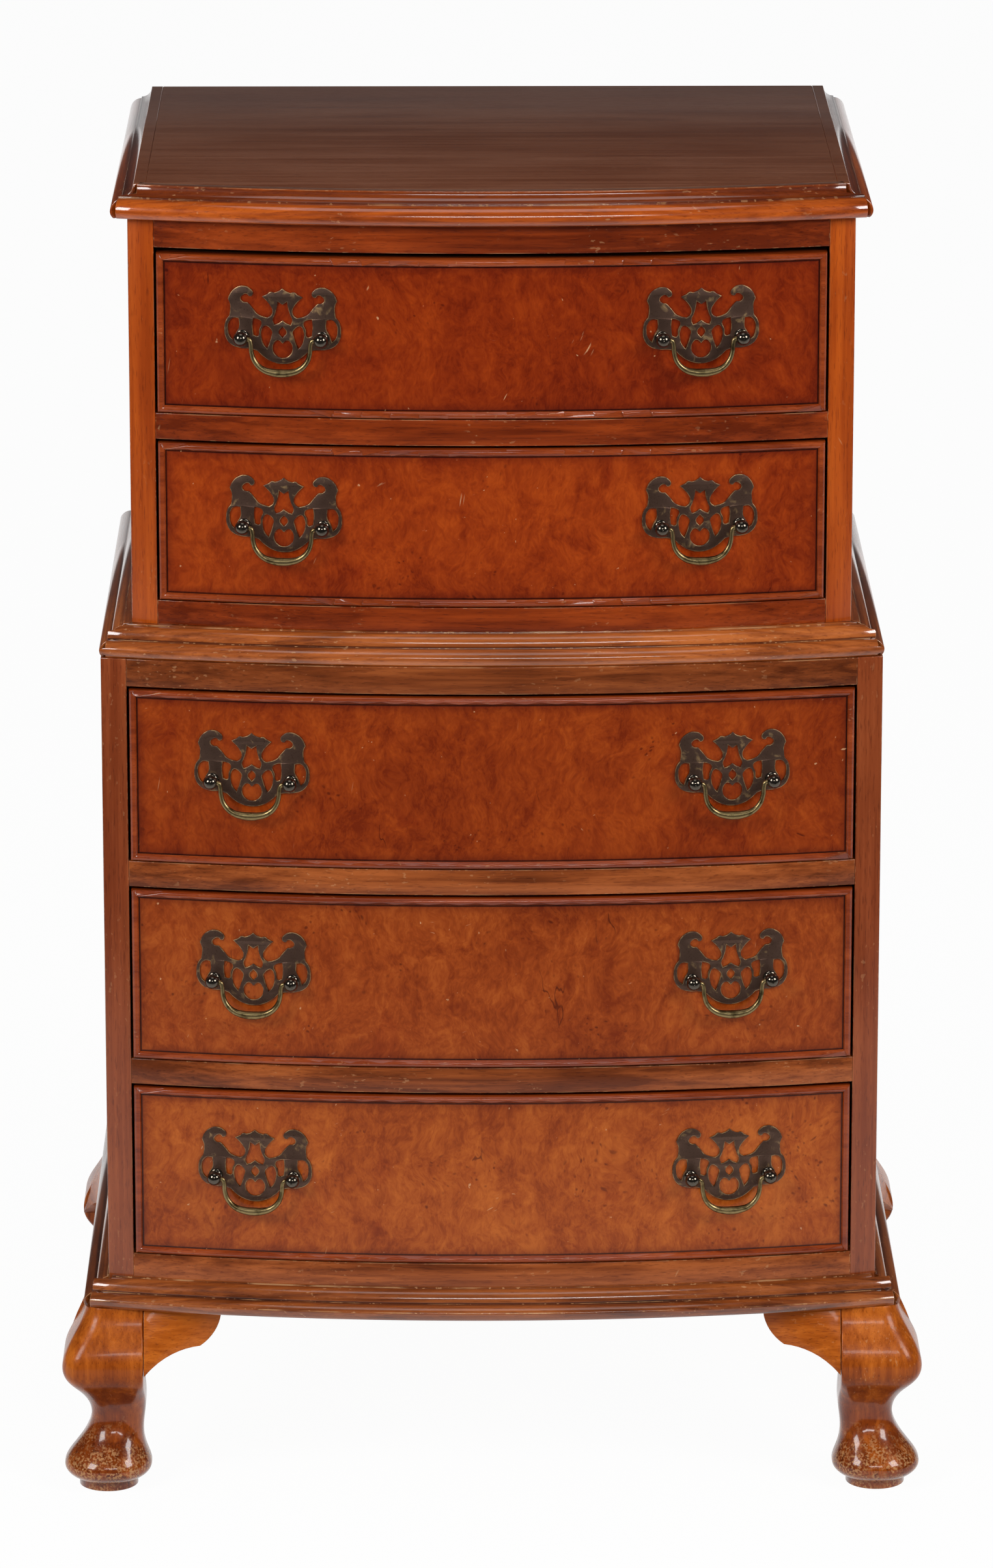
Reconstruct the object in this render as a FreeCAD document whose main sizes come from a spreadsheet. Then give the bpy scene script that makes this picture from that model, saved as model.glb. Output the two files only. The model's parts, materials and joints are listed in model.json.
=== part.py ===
"""Bow-fronted chest on chest: two drawers over three, on cabriole legs.

Millimetres. +Z is up, the front faces -Y, and the origin lies on the floor under the middle of
the overall box. Both cases are bowed: their fronts are arcs about vertical axes behind the chest.
"""
import FreeCAD, Part
import Sketcher
import math
import os
import re

# Driving dimensions, in millimetres unless the comment says otherwise.
SIZES = {
    # the two cases
    "upper_width": 460.0,
    "side_step": 20.0,             # the lower case is this much wider on each side
    "upper_depth": 352.0,          # front corners of the upper case to the back
    "front_step": 14.0,            # the lower case stands this far in front of the upper one
    "bow_rise": 27.0,              # middle of a front ahead of its corners
    "side_thickness": 16.5,
    "back_thickness": 5.0,
    "back_rebate": 8.0,
    # heights, from the floor up
    "leg_height": 124.0,
    "base_height": 18.5,
    "lower_bottom_rail": 16.0,     # the part that shows above the base moulding
    "lower_face": 113.0,
    "middle_rail": 17.0,
    "lower_top_rail": 18.0,
    "waist_height": 19.5,
    "upper_bottom_rail": 16.0,
    "upper_face": 102.5,
    "upper_top_rail": 19.0,
    "top_height": 20.0,
    # room round the drawers
    "seat_gap": 0.8,               # under a drawer front, whose sides stand on the runners
    "drawer_gap": 2.0,
    "first_gap": 3.5,              # the top drawer has shrunk more
    "side_gap": 1.5,
    "stop_gap": 0.3,
    "back_room": 8.0,
    # rails, runners, stops and bottom board
    "rail_depth": 45.0,
    "tenon_length": 6.0,
    "tenon_inset": 12.0,
    "tenon_shoulder": 4.0,
    "runner_width": 20.0,
    "runner_height": 12.0,
    "stop_spread": 120.0,
    "stop_width": 30.0,
    "stop_depth": 14.0,
    "stop_height": 5.0,
    "bottom_board": 12.0,
    # mouldings: projection beyond the case, width of the piece, and the steps of its edge
    "top_projection": 10.5,
    "top_lipping": 22.0,
    "top_edge": 14.4,
    "top_lip": 1.2,
    "top_hollow_drop": 6.8,
    "top_hollow_radius": 7.0,
    "waist_projection": 0.8,
    "waist_lipping": 30.0,
    "waist_edge": 15.0,
    "waist_lip": 0.8,
    "waist_round_drop": 8.0,
    "waist_round_radius": 7.0,
    "base_projection": 16.0,
    "base_edge": 15.0,
    "base_lip": 0.8,
    "base_round_drop": 8.0,
    "base_round_radius": 7.6,
    "nose_width": 7.4,
    "nose_height": 5.8,
    "nose_radius": 7.8,
    "nose_under": 2.2,
    "nose_under_radius": 6.4,
    "quirk": 1.0,
    # cabriole legs: spread is the width of the square section at each height
    "leg_reach": 22.6,             # inner faces of a leg inside the side of the case
    "leg_top_spread": 37.4,
    "root_drop": 10.0,             # drops are from the top of the leg
    "root_spread": 40.7,
    "shoulder_drop": 20.5,
    "shoulder_spread": 46.6,
    "knee_drop": 40.5,
    "knee_spread": 53.0,
    "calf_drop": 57.5,
    "calf_spread": 43.2,
    "ankle_drop": 1.75,            # below halfway from the calf to the instep
    "ankle_spread": 35.1,
    "instep_height": 33.0,
    "instep_spread": 40.0,
    "foot_height": 17.5,
    "foot_spread": 56.0,
    "foot_centre": 24.2,
    "sole_height": 5.5,
    "sole_spread": 41.0,
    "pad_radius": 19.2,
    "leg_round": 13.0,             # outer corner, and all four at the ankle
    "calf_arris": 7.0,             # the other corners, sharper towards the top
    "knee_arris": 1.6,
    "shoulder_arris": 1.2,
    "root_arris": 1.1,
    "leg_arris": 1.0,
    "leg_room": 2.5,               # knees of the back legs inside the back
    "foot_flat": 4.0,              # between the arcs of the round sections
    # knee brackets
    "bracket_joint": 0.4,
    "bracket_length": 51.0,
    "bracket_drop": 42.0,
    "bracket_cusp": 37.0,
    "bracket_cusp_drop": 25.0,
    "bracket_hollow_radius": 52.0,
    "bracket_nose_radius": 30.0,
    "bracket_back": 14.0,
    "bracket_knee_radius": 160.0,
    "bracket_calf_radius": 24.0,
    "bracket_end_spread": 33.0,    # the swell dies away to this at a bracket's thin end
    # drawers
    "front_thickness": 16.0,
    "bead_width": 4.6,
    "bead_depth": 9.0,
    "bead_projection": 2.2,
    "bead_nose": 1.8,              # rise of the rounded front
    "drawer_side": 8.0,
    "drawer_back": 8.0,
    "side_drop": 6.0,              # drawer sides stop this far below the top of the front
    "panel_thickness": 4.0,
    "panel_rise": 8.0,
    "panel_groove": 4.0,
    # handles
    "upper_handle_inset": 98.0,    # middle of a handle from the side of the case
    "lower_handle_inset": 96.5,
    "post_spacing": 51.0,
    "plate_width": 74.6,
    "plate_thickness": 1.3,
    "stem_radius": 2.2,
    "stem_clearance": 0.2,
    "collar_radius": 4.4,
    "collar_height": 1.2,
    "neck_radius": 2.8,
    "neck_height": 2.2,
    "ball_radius": 4.7,
    "nut_radius": 4.6,
    "nut_height": 3.0,
    "bail_radius": 1.55,
    "bail_clearance": 0.08,
    "bail_overlap": 1.6,           # the pin goes this far past the middle of the ball
    "bail_play": 0.2,              # between a bail's bend and the ball beside it
    "bail_drop": 21.6,
    "bail_bend": 1.7,
    "bail_sweep": 12.0,
    "swell_radius": 2.9,
    "swell_half_length": 6.7,
}

# Heights, arcs and corners that follow from the dimensions above.
FORMULAS = {
    "lower_width": "upper_width + 2 * side_step",
    "total_depth": "upper_depth + front_step + bow_rise + base_projection",
    "back_face": "total_depth / 2",
    "upper_front": "back_face - upper_depth",
    "lower_front": "upper_front - front_step",
    "upper_radius": "(upper_width^2 / 4 + bow_rise^2) / (2 * bow_rise)",
    "lower_radius": "(lower_width^2 / 4 + bow_rise^2) / (2 * bow_rise)",
    "upper_centre": "upper_front - bow_rise + upper_radius",
    "lower_centre": "lower_front - bow_rise + lower_radius",
    "bow_sweep": "4 * asin(upper_width / 2 / upper_radius)",
    "base_top": "leg_height + base_height",
    "opening_5": "base_top + lower_bottom_rail",
    "lower_opening": "seat_gap + lower_face + drawer_gap",
    "opening_4": "opening_5 + lower_opening + middle_rail",
    "opening_3": "opening_4 + lower_opening + middle_rail",
    "waist_bottom": "opening_3 + lower_opening + lower_top_rail",
    "waist_top": "waist_bottom + waist_height",
    "opening_2": "waist_top + upper_bottom_rail",
    "upper_opening": "seat_gap + upper_face + drawer_gap",
    "opening_1": "opening_2 + upper_opening + middle_rail",
    "first_opening": "seat_gap + upper_face + first_gap",
    "top_bottom": "opening_1 + first_opening + upper_top_rail",
    "total_height": "top_bottom + top_height",
    "base_lipping": "base_projection",
    "leg_side": "lower_width / 2 - leg_reach",
    "root_height": "leg_height - root_drop",
    "shoulder_height": "leg_height - shoulder_drop",
    "knee_height": "leg_height - knee_drop",
    "calf_height": "leg_height - calf_drop",
    "ankle_height": "(calf_height + instep_height) / 2 - ankle_drop",
    "front_leg_face": "lower_front + leg_reach",
    "back_leg_face": "back_face - knee_spread - leg_room",
    "drawer_end": "back_face - back_thickness - back_room",
    "pivot_reach": "plate_thickness + collar_height + neck_height + ball_radius",
    "bail_half_width": "post_spacing / 2 - ball_radius - bail_bend - bail_play",
    "upper_handle": "upper_width / 2 - upper_handle_inset",
    "lower_handle": "lower_width / 2 - lower_handle_inset",
    "upper_handle_turn": "asin(upper_handle / upper_radius)",
    "lower_handle_turn": "asin(lower_handle / lower_radius)",
}

# Each moulding, and the case that it goes round.
EDGINGS = {"top": "upper", "waist": "lower", "base": "lower"}

# The right half of a handle plate, drawn for this width: across, up, and the radius of the arc that
# leads there (positive turns left, 0 is straight). It runs down the outer edge from the top, then
# up the middle line, past the drop, the lozenge and the vase that open there.
DRAWN_PLATE_WIDTH = 74.6
PLATE_HALF = [
    (0.0, 31.8, 0),
    (4.6, 29.4, 5.0),
    (10.0, 30.0, -4.6),
    (14.0, 27.2, -4.2),
    (8.6, 21.2, 9.0),
    (7.6, 15.6, 6.5),
    (11.4, 11.8, 6.0),
    (20.6, 17.2, 16.0),
    (23.2, 23.4, 9.0),
    (28.6, 26.0, 3.4),
    (25.4, 28.4, 3.0),
    (22.2, 27.4, 4.5),
    (25.0, 32.0, -5.0),
    (31.6, 32.4, -8.0),
    (35.8, 25.4, -7.4),
    (33.4, 16.4, -24.0),
    (36.0, 11.4, 6.0),
    (37.3, 5.4, -12.0),
    (34.0, -3.6, -9.6),
    (26.0, -6.8, -11.0),
    (15.0, -7.4, 40.0),
    (6.4, -14.2, 30.0),
    (0.0, -16.8, -12.0),
    (0.0, -12.6, 0),
    (5.6, -6.4, 6.2),
    (0.0, -0.6, 12.0),
    (0.0, 2.2, 0),
    (2.2, 4.6, 0),
    (0.0, 7.0, 0),
    (0.0, 9.2, 0),
    (7.8, 12.2, -14.0),
    (4.8, 16.6, -9.0),
    (4.4, 22.4, -20.0),
    (0.0, 23.4, 8.0),
]

# The openings inside that half.
PLATE_OPENINGS = [
    [(9.6, 9.6, 30.0), (12.8, 3.6, -9.0), (10.4, -4.0, -10.0), (4.8, 2.6, 22.0)],
    [(19.4, 13.2, 30.0), (18.8, 5.6, -30.0), (15.6, 3.4, 6.0), (15.0, 9.8, 20.0)],
    [
        (29.0, 13.0, 40.0),
        (33.2, 11.6, -6.0),
        (34.6, 5.4, -12.0),
        (32.4, -0.6, -8.0),
        (29.6, 1.6, -5.0),
    ],
]

# The case that holds each drawer, counted from the top.
CASES = {1: "upper", 2: "upper", 3: "lower", 4: "lower", 5: "lower"}
SIDES = ("left", "right")
UP = FreeCAD.Vector(0, 0, 1)
RIGHT = FreeCAD.Vector(1, 0, 0)
BACK = FreeCAD.Vector(0, 1, 0)
FRONT = -BACK
LEFT = -RIGHT
WORD = re.compile(r"[a-z][a-z0-9_]*")

doc = FreeCAD.newDocument("ChestOnChest")
sheet = doc.addObject("Spreadsheet::Sheet", "Sizes")
cells = {}
nodes = []


# Sheet and expressions

def add_cell(alias, content):
    """Put a number or a formula in the next row of the sheet under its alias."""
    row = len(cells) + 1
    sheet.set(f"A{row}", alias)
    sheet.set(f"B{row}", content)
    sheet.setAlias(f"B{row}", alias)
    cells[alias] = row


def add_corners(edging, case):
    """Put the inner and outer front corner of a moulding in the sheet."""
    width = f"{edging}_lipping"
    for corner, offset in (("in", f"{edging}_projection - {width}"), ("out", f"{edging}_projection")):
        half = f"{edging}_half_{corner}"
        add_cell(half, f"={case}_width / 2 + {offset}")
        reach = f"sqrt(({case}_radius + {offset})^2 - {half}^2)"
        add_cell(f"{edging}_corner_{corner}", f"={case}_centre - {reach}")


def sized(expression):
    """Point each alias in an expression at the sheet."""
    def name(match):
        word = match.group(0)
        return f"Sizes.{word}" if word in cells else word
    return WORD.sub(name, str(expression))


def value(expression):
    """The present value of an expression."""
    return float(sheet.evalExpression(sized(expression)))


def bind(obj, **properties):
    """Bind properties to expressions; a double underscore stands for a dot."""
    for name, expression in properties.items():
        obj.setExpression(name.replace("__", "."), sized(expression))
    return obj


def place(obj, x="0", y="0", z="0"):
    """Bind the position of an object."""
    return bind(obj, Placement__Base__x=x, Placement__Base__y=y, Placement__Base__z=z)


# Solids

def board(name, x, y, z):
    """A box between pairs of limits."""
    box = doc.addObject("Part::Box", name)
    length, width, height = (f"({high}) - ({low})" for low, high in (x, y, z))
    bind(box, Length=length, Width=width, Height=height)
    return place(box, x[0], y[0], z[0])


def rod(name, radius, length, axis):
    """A cylinder from its own origin along an axis."""
    cylinder = doc.addObject("Part::Cylinder", name)
    cylinder.Placement = FreeCAD.Placement(FreeCAD.Vector(), FreeCAD.Rotation(UP, axis))
    return bind(cylinder, Radius=radius, Height=length)


def common(name, *shapes):
    """What all the shapes share."""
    result = doc.addObject("Part::MultiCommon", name)
    result.Shapes = list(shapes)
    return result


def fused(name, *shapes):
    """The shapes made one."""
    result = doc.addObject("Part::MultiFuse", name)
    result.Shapes = list(shapes)
    return result


def cut(name, base, *tools):
    """The base with each tool taken away in turn."""
    result = base
    for number, tool in enumerate(tools, 1):
        step = doc.addObject("Part::Cut", name if number == len(tools) else f"{name}_cut_{number}")
        step.Base = result
        step.Tool = tool
        result = step
    return result


def mirrored(name, source, normal=RIGHT):
    """A copy mirrored in a plane through the origin."""
    result = doc.addObject("Part::Mirroring", name)
    result.Source = source
    result.Normal = normal
    return result


def grouped(name, *shapes):
    """Separate solids kept together."""
    result = doc.addObject("Part::Compound", name)
    result.Links = list(shapes)
    return result


def node(obj, label):
    """Name a finished sub-part."""
    obj.Label = label
    nodes.append(obj)
    return obj


# Outlines

def arc_between(start, end, radius):
    """The arc of under half a circle from start to end, turning left if the radius is positive."""
    chord = end - start
    side = FreeCAD.Vector(-chord.y, chord.x, 0).normalize() * math.copysign(1.0, radius)
    height = math.sqrt(max(radius**2 - chord.Length**2 / 4, 0.0))
    centre = (start + end) * 0.5 + side * height
    first, last = (start, end) if radius > 0 else (end, start)
    angles = [math.atan2(p.y - centre.y, p.x - centre.x) for p in (first, last)]
    return Part.ArcOfCircle(Part.Circle(centre, UP, abs(radius)), *angles)


def draw(sketch, *loops, closed=True):
    """Draw runs of lines and arcs in a sketch, each point and radius bound to the sheet.

    A run is a list of (across, up, radius of the arc that leads there). The last point of a
    closed run leads back to the first.
    """
    constraints, amounts = [], []

    def bound(amount, *terms):
        constraints.append(Sketcher.Constraint(*terms))
        amounts.append(amount)

    for loop in loops:
        points = [FreeCAD.Vector(value(x), value(y), 0) for x, y, _ in loop]
        previous = None
        opening = None
        for index in range(0 if closed else 1, len(loop)):
            start, end = points[index - 1], points[index]
            bend = value(loop[index][2])
            first, last = (2, 1) if bend < 0 else (1, 2)
            if bend:
                edge = sketch.addGeometry(arc_between(start, end, bend))
                bound(f"abs({loop[index][2]})", "Radius", edge, abs(bend))
            else:
                edge = sketch.addGeometry(Part.LineSegment(start, end))
            if previous:
                bound(None, "Coincident", *previous, edge, first)
            elif closed:
                opening = (edge, first)
            else:
                bound(loop[0][0], "DistanceX", -1, 1, edge, first, start.x)
                bound(loop[0][1], "DistanceY", -1, 1, edge, first, start.y)
            bound(loop[index][0], "DistanceX", -1, 1, edge, last, end.x)
            bound(loop[index][1], "DistanceY", -1, 1, edge, last, end.y)
            previous = (edge, last)
        if closed:
            bound(None, "Coincident", *previous, *opening)
    sketch.addConstraint(constraints)
    for index, amount in enumerate(amounts):
        if amount is not None:
            sketch.setExpression(f"Constraints[{index}]", sized(amount))
    return sketch


def outline(name, across, up, *loops):
    """A free sketch in the plane of two directions."""
    sketch = doc.addObject("Sketcher::SketchObject", name)
    turn = FreeCAD.Rotation(across, up, across.cross(up), "XYZ")
    sketch.Placement = FreeCAD.Placement(FreeCAD.Vector(), turn)
    return draw(sketch, *loops)


def extruded(name, sketch, direction, length):
    """A solid drawn out from a sketch."""
    result = doc.addObject("Part::Extrusion", name)
    result.Base = sketch
    result.DirMode = "Custom"
    result.Dir = direction
    result.Solid = True
    result.FaceMakerClass = "Part::FaceMakerBullseye"
    return bind(result, LengthFwd=length)


def body_sketch(body, name, role, *loops, lift="0"):
    """A sketch on one of a body's own planes, lifted along its normal."""
    sketch = body.newObject("Sketcher::SketchObject", name)
    plane = next(p for p in body.Origin.OriginFeatures if p.Role == role)
    sketch.AttachmentSupport = [(plane, "")]
    sketch.MapMode = "FlatFace"
    bind(sketch, AttachmentOffset__Base__z=lift)
    return draw(sketch, *loops)


# Bowed surfaces

def bow(case, name, offset):
    """A tall cylinder whose front is a case's bow, moved outwards by an offset."""
    cylinder = doc.addObject("Part::Cylinder", f"{case}_bow_{name}")
    bind(cylinder, Radius=f"{case}_radius + ({offset})", Height="total_height")
    return place(cylinder, y=f"{case}_centre")


def make_bows(case):
    """The bowed surfaces that the pieces of a case share."""
    return {
        "face": bow(case, "face", "0"),
        "proud": bow(case, "proud", "bead_projection"),
        "rebate": bow(case, "rebate", "-bead_depth"),
        "inside": bow(case, "inside", "-front_thickness"),
        "groove": bow(case, "groove", "panel_groove - front_thickness"),
        "stop": bow(case, "stop", "-front_thickness - stop_gap"),
    }


def swept(name, section, case):
    """A section carried along the bow of a case, past both its corners."""
    result = doc.addObject("Part::Revolution", name)
    result.Source = section
    result.Axis = UP
    result.Solid = True
    result.Symmetric = True
    result.FaceMakerClass = "Part::FaceMakerBullseye"
    return bind(result, Base__y=f"{case}_centre", Angle="bow_sweep")


# Carcase

def make_rails(case, limits, openings, bows):
    """Rails with tenons, and the stop blocks on them; returns the tenons too."""
    inner = f"({case}_width / 2 - side_thickness)"
    front = f"{case}_front"
    pieces, tenons = [], []
    for number, (low, high) in enumerate(limits, 1):
        name = f"{case}_rail_{number}"
        deep = ("-total_depth", f"{front} + rail_depth")
        blank = board(f"{name}_blank", (f"-{inner}", inner), deep, (low, high))
        bar = common(f"{name}_bar", blank, bows["face"])
        reach = f"({inner} + tenon_length)"
        span = (f"{front} + tenon_inset", f"{front} + rail_depth - tenon_inset")
        rise = (f"{low} + tenon_shoulder", f"{high} - tenon_shoulder")
        tenon = board(f"{name}_tenon", (f"-{reach}", reach), span, rise)
        pieces.append(fused(name, bar, tenon))
        tenons.append(tenon)
    for number in openings:
        floor = f"opening_{number}"
        middle = "stop_spread / 2"
        block = board(
            f"drawer_{number}_stop_blank",
            (f"-{middle} - stop_width / 2", f"-{middle} + stop_width / 2"),
            ("-total_depth", f"{front} - bow_rise + front_thickness + stop_depth"),
            (floor, f"{floor} + stop_height"),
        )
        stop = common(f"drawer_{number}_left_stop", block, bows["stop"])
        pieces += [stop, mirrored(f"drawer_{number}_right_stop", stop)]
    node(grouped(f"{case}_rails_group", *pieces), f"{case}_rails_and_stops")
    return grouped(f"{case}_tenons", *tenons)


def make_sides(case, low, high, bows, tenons):
    """The two sides of a case, rebated for the back and mortised for the rails."""
    outer = f"-{case}_width / 2"
    inner = f"{outer} + side_thickness"
    blank = board(f"{case}_side_blank", (outer, inner), ("-total_depth", "back_face"), (low, high))
    rebate = board(
        f"{case}_side_rebate",
        (f"{inner} - back_rebate", inner), ("back_face - back_thickness", "back_face"), (low, high),
    )
    bowed = common(f"{case}_side_bowed", blank, bows["face"])
    left = node(cut(f"{case}_side_left", bowed, rebate, tenons), f"{case}_left_side")
    node(mirrored(f"{case}_side_right", left), f"{case}_right_side")


def make_back(case, low, high):
    """The panel in the rebates at the back of a case."""
    half = f"({case}_width / 2 - side_thickness + back_rebate)"
    panel = board(
        f"{case}_back", (f"-{half}", half), ("back_face - back_thickness", "back_face"), (low, high)
    )
    node(panel, f"{case}_back_panel")


def make_runners():
    """A pair of runners for each drawer, level with the rail in front of them."""
    runners = []
    for number, case in CASES.items():
        wall = f"-{case}_width / 2 + side_thickness"
        runner = board(
            f"drawer_{number}_left_runner",
            (wall, f"{wall} + runner_width"),
            (f"{case}_front + rail_depth", "back_face - back_thickness"),
            (f"opening_{number} - runner_height", f"opening_{number}"),
        )
        runners += [runner, mirrored(f"drawer_{number}_right_runner", runner)]
    node(grouped("runners_group", *runners), "drawer_runners")


def make_bottom_board():
    """The board that closes the lower case and takes the legs."""
    half = "(lower_width / 2 - side_thickness)"
    panel = board(
        "bottom_panel",
        (f"-{half}", half),
        ("lower_front + rail_depth", "back_face - back_thickness"),
        ("leg_height", "leg_height + bottom_board"),
    )
    node(panel, "bottom_board")


def make_panel(edging, low, high, label):
    """A board inside a moulded edging, bowed at the front."""
    case = EDGINGS[edging]
    inset = f"{edging}_projection - {edging}_lipping"
    half = f"({case}_width / 2 + {inset})"
    blank = board(f"{edging}_blank", (f"-{half}", half), ("-total_depth", "back_face"), (low, high))
    node(common(f"{edging}_panel", blank, bow(case, f"{edging}_edge", inset)), label)


# Mouldings

def moulded_edge(edging, shape):
    """Section of a moulding, from its inner face outwards and from its underside up."""
    width = f"{edging}_lipping"
    height = f"{edging}_height"
    drop = f"{edging}_{shape}_drop"
    shoulder = f"{width} - {edging}_edge"
    neck = f"{width} - nose_width"
    turn = f"{edging}_{shape}_radius" if shape == "hollow" else f"-{edging}_{shape}_radius"
    return [
        ("0", "0", 0),
        ("0", height, 0),
        (shoulder, height, 0),
        (shoulder, f"{height} - {edging}_lip", 0),
        (neck, f"{height} - {drop}", turn),
        (neck, f"{height} - {drop} - quirk", 0),
        (width, "nose_height", "-nose_radius"),
        (f"{width} - nose_under", "0", "-nose_under_radius"),
    ]


def make_moulding(edging, low, shape, label):
    """A moulding of three lengths, mitred at the front corners."""
    case = EDGINGS[edging]
    width = f"{edging}_lipping"
    half_in = f"{edging}_half_in"
    corner_in = f"{edging}_corner_in"
    corner_out = f"{edging}_corner_out"
    section = moulded_edge(edging, shape)

    # The mitre runs from the inner corner through the outer one, and past it.
    far = f"{half_in} + 2 * {width}"
    beyond = f"{corner_in} + 2 * ({corner_out} - {corner_in})"
    plan = [
        (f"-{half_in}", corner_in, 0),
        (f"-({far})", beyond, 0),
        (f"-({far})", "-total_depth", 0),
        (far, "-total_depth", 0),
        (far, beyond, 0),
        (half_in, corner_in, 0),
    ]
    mitre_plan = outline(f"{edging}_mitre_plan", RIGHT, BACK, plan)
    mitre = extruded(f"{edging}_mitre", mitre_plan, UP, "total_height")

    front_section = outline(f"{edging}_front_section", FRONT, UP, section)
    place(front_section, y=f"{case}_centre - {case}_radius - {edging}_projection + {width}", z=low)
    front = common(f"{edging}_front_length", swept(f"{edging}_front_swept", front_section, case), mitre)

    side_section = outline(f"{edging}_side_section", LEFT, UP, section)
    start = f"({corner_out} - {width})"
    place(side_section, x=f"-{half_in}", y=start, z=low)
    run = extruded(f"{edging}_side_run", side_section, BACK, f"back_face - {start}")
    left = cut(f"{edging}_left_length", run, mitre)
    right = mirrored(f"{edging}_right_length", left)
    node(grouped(f"{edging}_moulding_group", front, left, right), label)


# Legs and brackets

def leg_section(centre, spread, outer, edge, inner):
    """A square section with rounded corners: the outer one, the two beside it and the inner one."""
    low = f"({centre} - {spread} / 2)"
    high = f"({centre} + {spread} / 2)"
    return [
        (f"{low} + {inner}", low, inner),
        (f"{high} - {edge}", low, 0),
        (high, f"{low} + {edge}", edge),
        (high, f"{high} - {outer}", 0),
        (f"{high} - {outer}", high, outer),
        (f"{low} + {edge}", high, 0),
        (low, f"{high} - {edge}", edge),
        (low, f"{low} + {inner}", 0),
    ]


def square_section(spread, outer, edge):
    """A section whose inner corner stays on the leg's inner edge."""
    return leg_section(f"{spread} / 2", spread, outer, edge, edge)


def round_section(centre, spread):
    """A section that is round but for short flats."""
    turn = f"({spread} / 2 - foot_flat / 2)"
    return leg_section(centre, spread, turn, turn, turn)


def make_legs():
    """Four alike: the front left one is lofted, and the others are mirrored from it."""
    body = doc.addObject("PartDesign::Body", "leg")
    middle = "foot_centre"
    low, high = "foot_centre - pad_radius", "foot_centre + pad_radius"
    pad_loop = [
        (high, middle, "pad_radius"),
        (middle, high, "pad_radius"),
        (low, middle, "pad_radius"),
        (middle, low, "pad_radius"),
    ]
    pad = body.newObject("PartDesign::Pad", "leg_pad")
    pad.Profile = body_sketch(body, "leg_pad_outline", "XY_Plane", pad_loop)
    bind(pad, Length="sole_height")

    instep = "(ankle_spread / 4 + foot_centre / 2)"
    stations = [
        ("sole", "sole_height", round_section(middle, "sole_spread")),
        ("foot", "foot_height", round_section(middle, "foot_spread")),
        ("instep", "instep_height", round_section(instep, "instep_spread")),
        ("ankle", "ankle_height", square_section("ankle_spread", "leg_round", "leg_round")),
        ("calf", "calf_height", square_section("calf_spread", "leg_round", "calf_arris")),
        ("knee", "knee_height", square_section("knee_spread", "leg_round", "knee_arris")),
        ("shoulder", "shoulder_height", square_section("shoulder_spread", "leg_round", "shoulder_arris")),
        ("root", "root_height", square_section("root_spread", "leg_round", "root_arris")),
        ("top", "leg_height", square_section("leg_top_spread", "leg_round", "leg_arris")),
    ]
    sketches = [
        body_sketch(body, f"leg_{name}", "XY_Plane", loop, lift=height) for name, height, loop in stations
    ]
    doc.recompute()
    loft = body.newObject("PartDesign::AdditiveLoft", "leg_loft")
    loft.Profile = sketches[0]
    loft.Sections = sketches[1:]
    body.Tip = loft
    body.Placement = FreeCAD.Placement(FreeCAD.Vector(), FreeCAD.Rotation(UP, 180))
    place(body, x="-leg_side", y="front_leg_face")
    node(body, "front_left_leg")
    node(mirrored("leg_right", body), "front_right_leg")
    back = mirrored("leg_back_left", body, BACK)
    bind(back, Base__y="(front_leg_face + back_leg_face) / 2")
    node(back, "back_left_leg")
    node(mirrored("leg_back_right", back), "back_right_leg")


def make_brackets():
    """Shaped blocks that carry the line of each knee along the front and the sides."""
    top = "leg_height"
    heel = "leg_height - bracket_drop"
    cusp = "leg_height - bracket_cusp_drop"
    face = [
        ("bracket_joint", top, 0),
        ("bracket_joint", heel, 0),
        ("bracket_cusp", cusp, "-bracket_hollow_radius"),
        ("bracket_length", top, "bracket_nose_radius"),
    ]
    swells = []
    stations = (("joint", "bracket_joint", "knee_spread"), ("end", "bracket_length", "bracket_end_spread"))
    for name, start, knee in stations:
        swell = [
            ("bracket_back", top, 0),
            ("bracket_back", "calf_height", 0),
            (f"{knee} + calf_spread - knee_spread", "calf_height", 0),
            (knee, "knee_height", "bracket_calf_radius"),
            ("leg_top_spread", top, "bracket_knee_radius"),
        ]
        section = outline(f"bracket_{name}_swell", FRONT, UP, swell)
        swells.append(place(section, x=f"{start} - leg_side", y="front_leg_face"))
    face_sketch = place(outline("bracket_face", RIGHT, UP, face), x="-leg_side", y="front_leg_face")
    swell_block = doc.addObject("Part::Loft", "bracket_swell_block")
    swell_block.Sections = swells
    swell_block.Solid = True
    swell_block.Ruled = True
    front = common(
        "bracket_front_left",
        extruded("bracket_face_block", face_sketch, FRONT, "2 * knee_spread"),
        swell_block,
    )
    side = mirrored("bracket_side_left", front, FreeCAD.Vector(1, -1, 0))
    bind(side, Base__x="-leg_side", Base__y="front_leg_face")
    rear = mirrored("bracket_rear_left", side, BACK)
    bind(rear, Base__y="(front_leg_face + back_leg_face) / 2")
    left = [front, side, rear]
    right = [mirrored(f"{piece.Name}_mirror", piece) for piece in left]
    node(grouped("brackets_group", *left, *right), "knee_brackets")


# Handles

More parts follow.
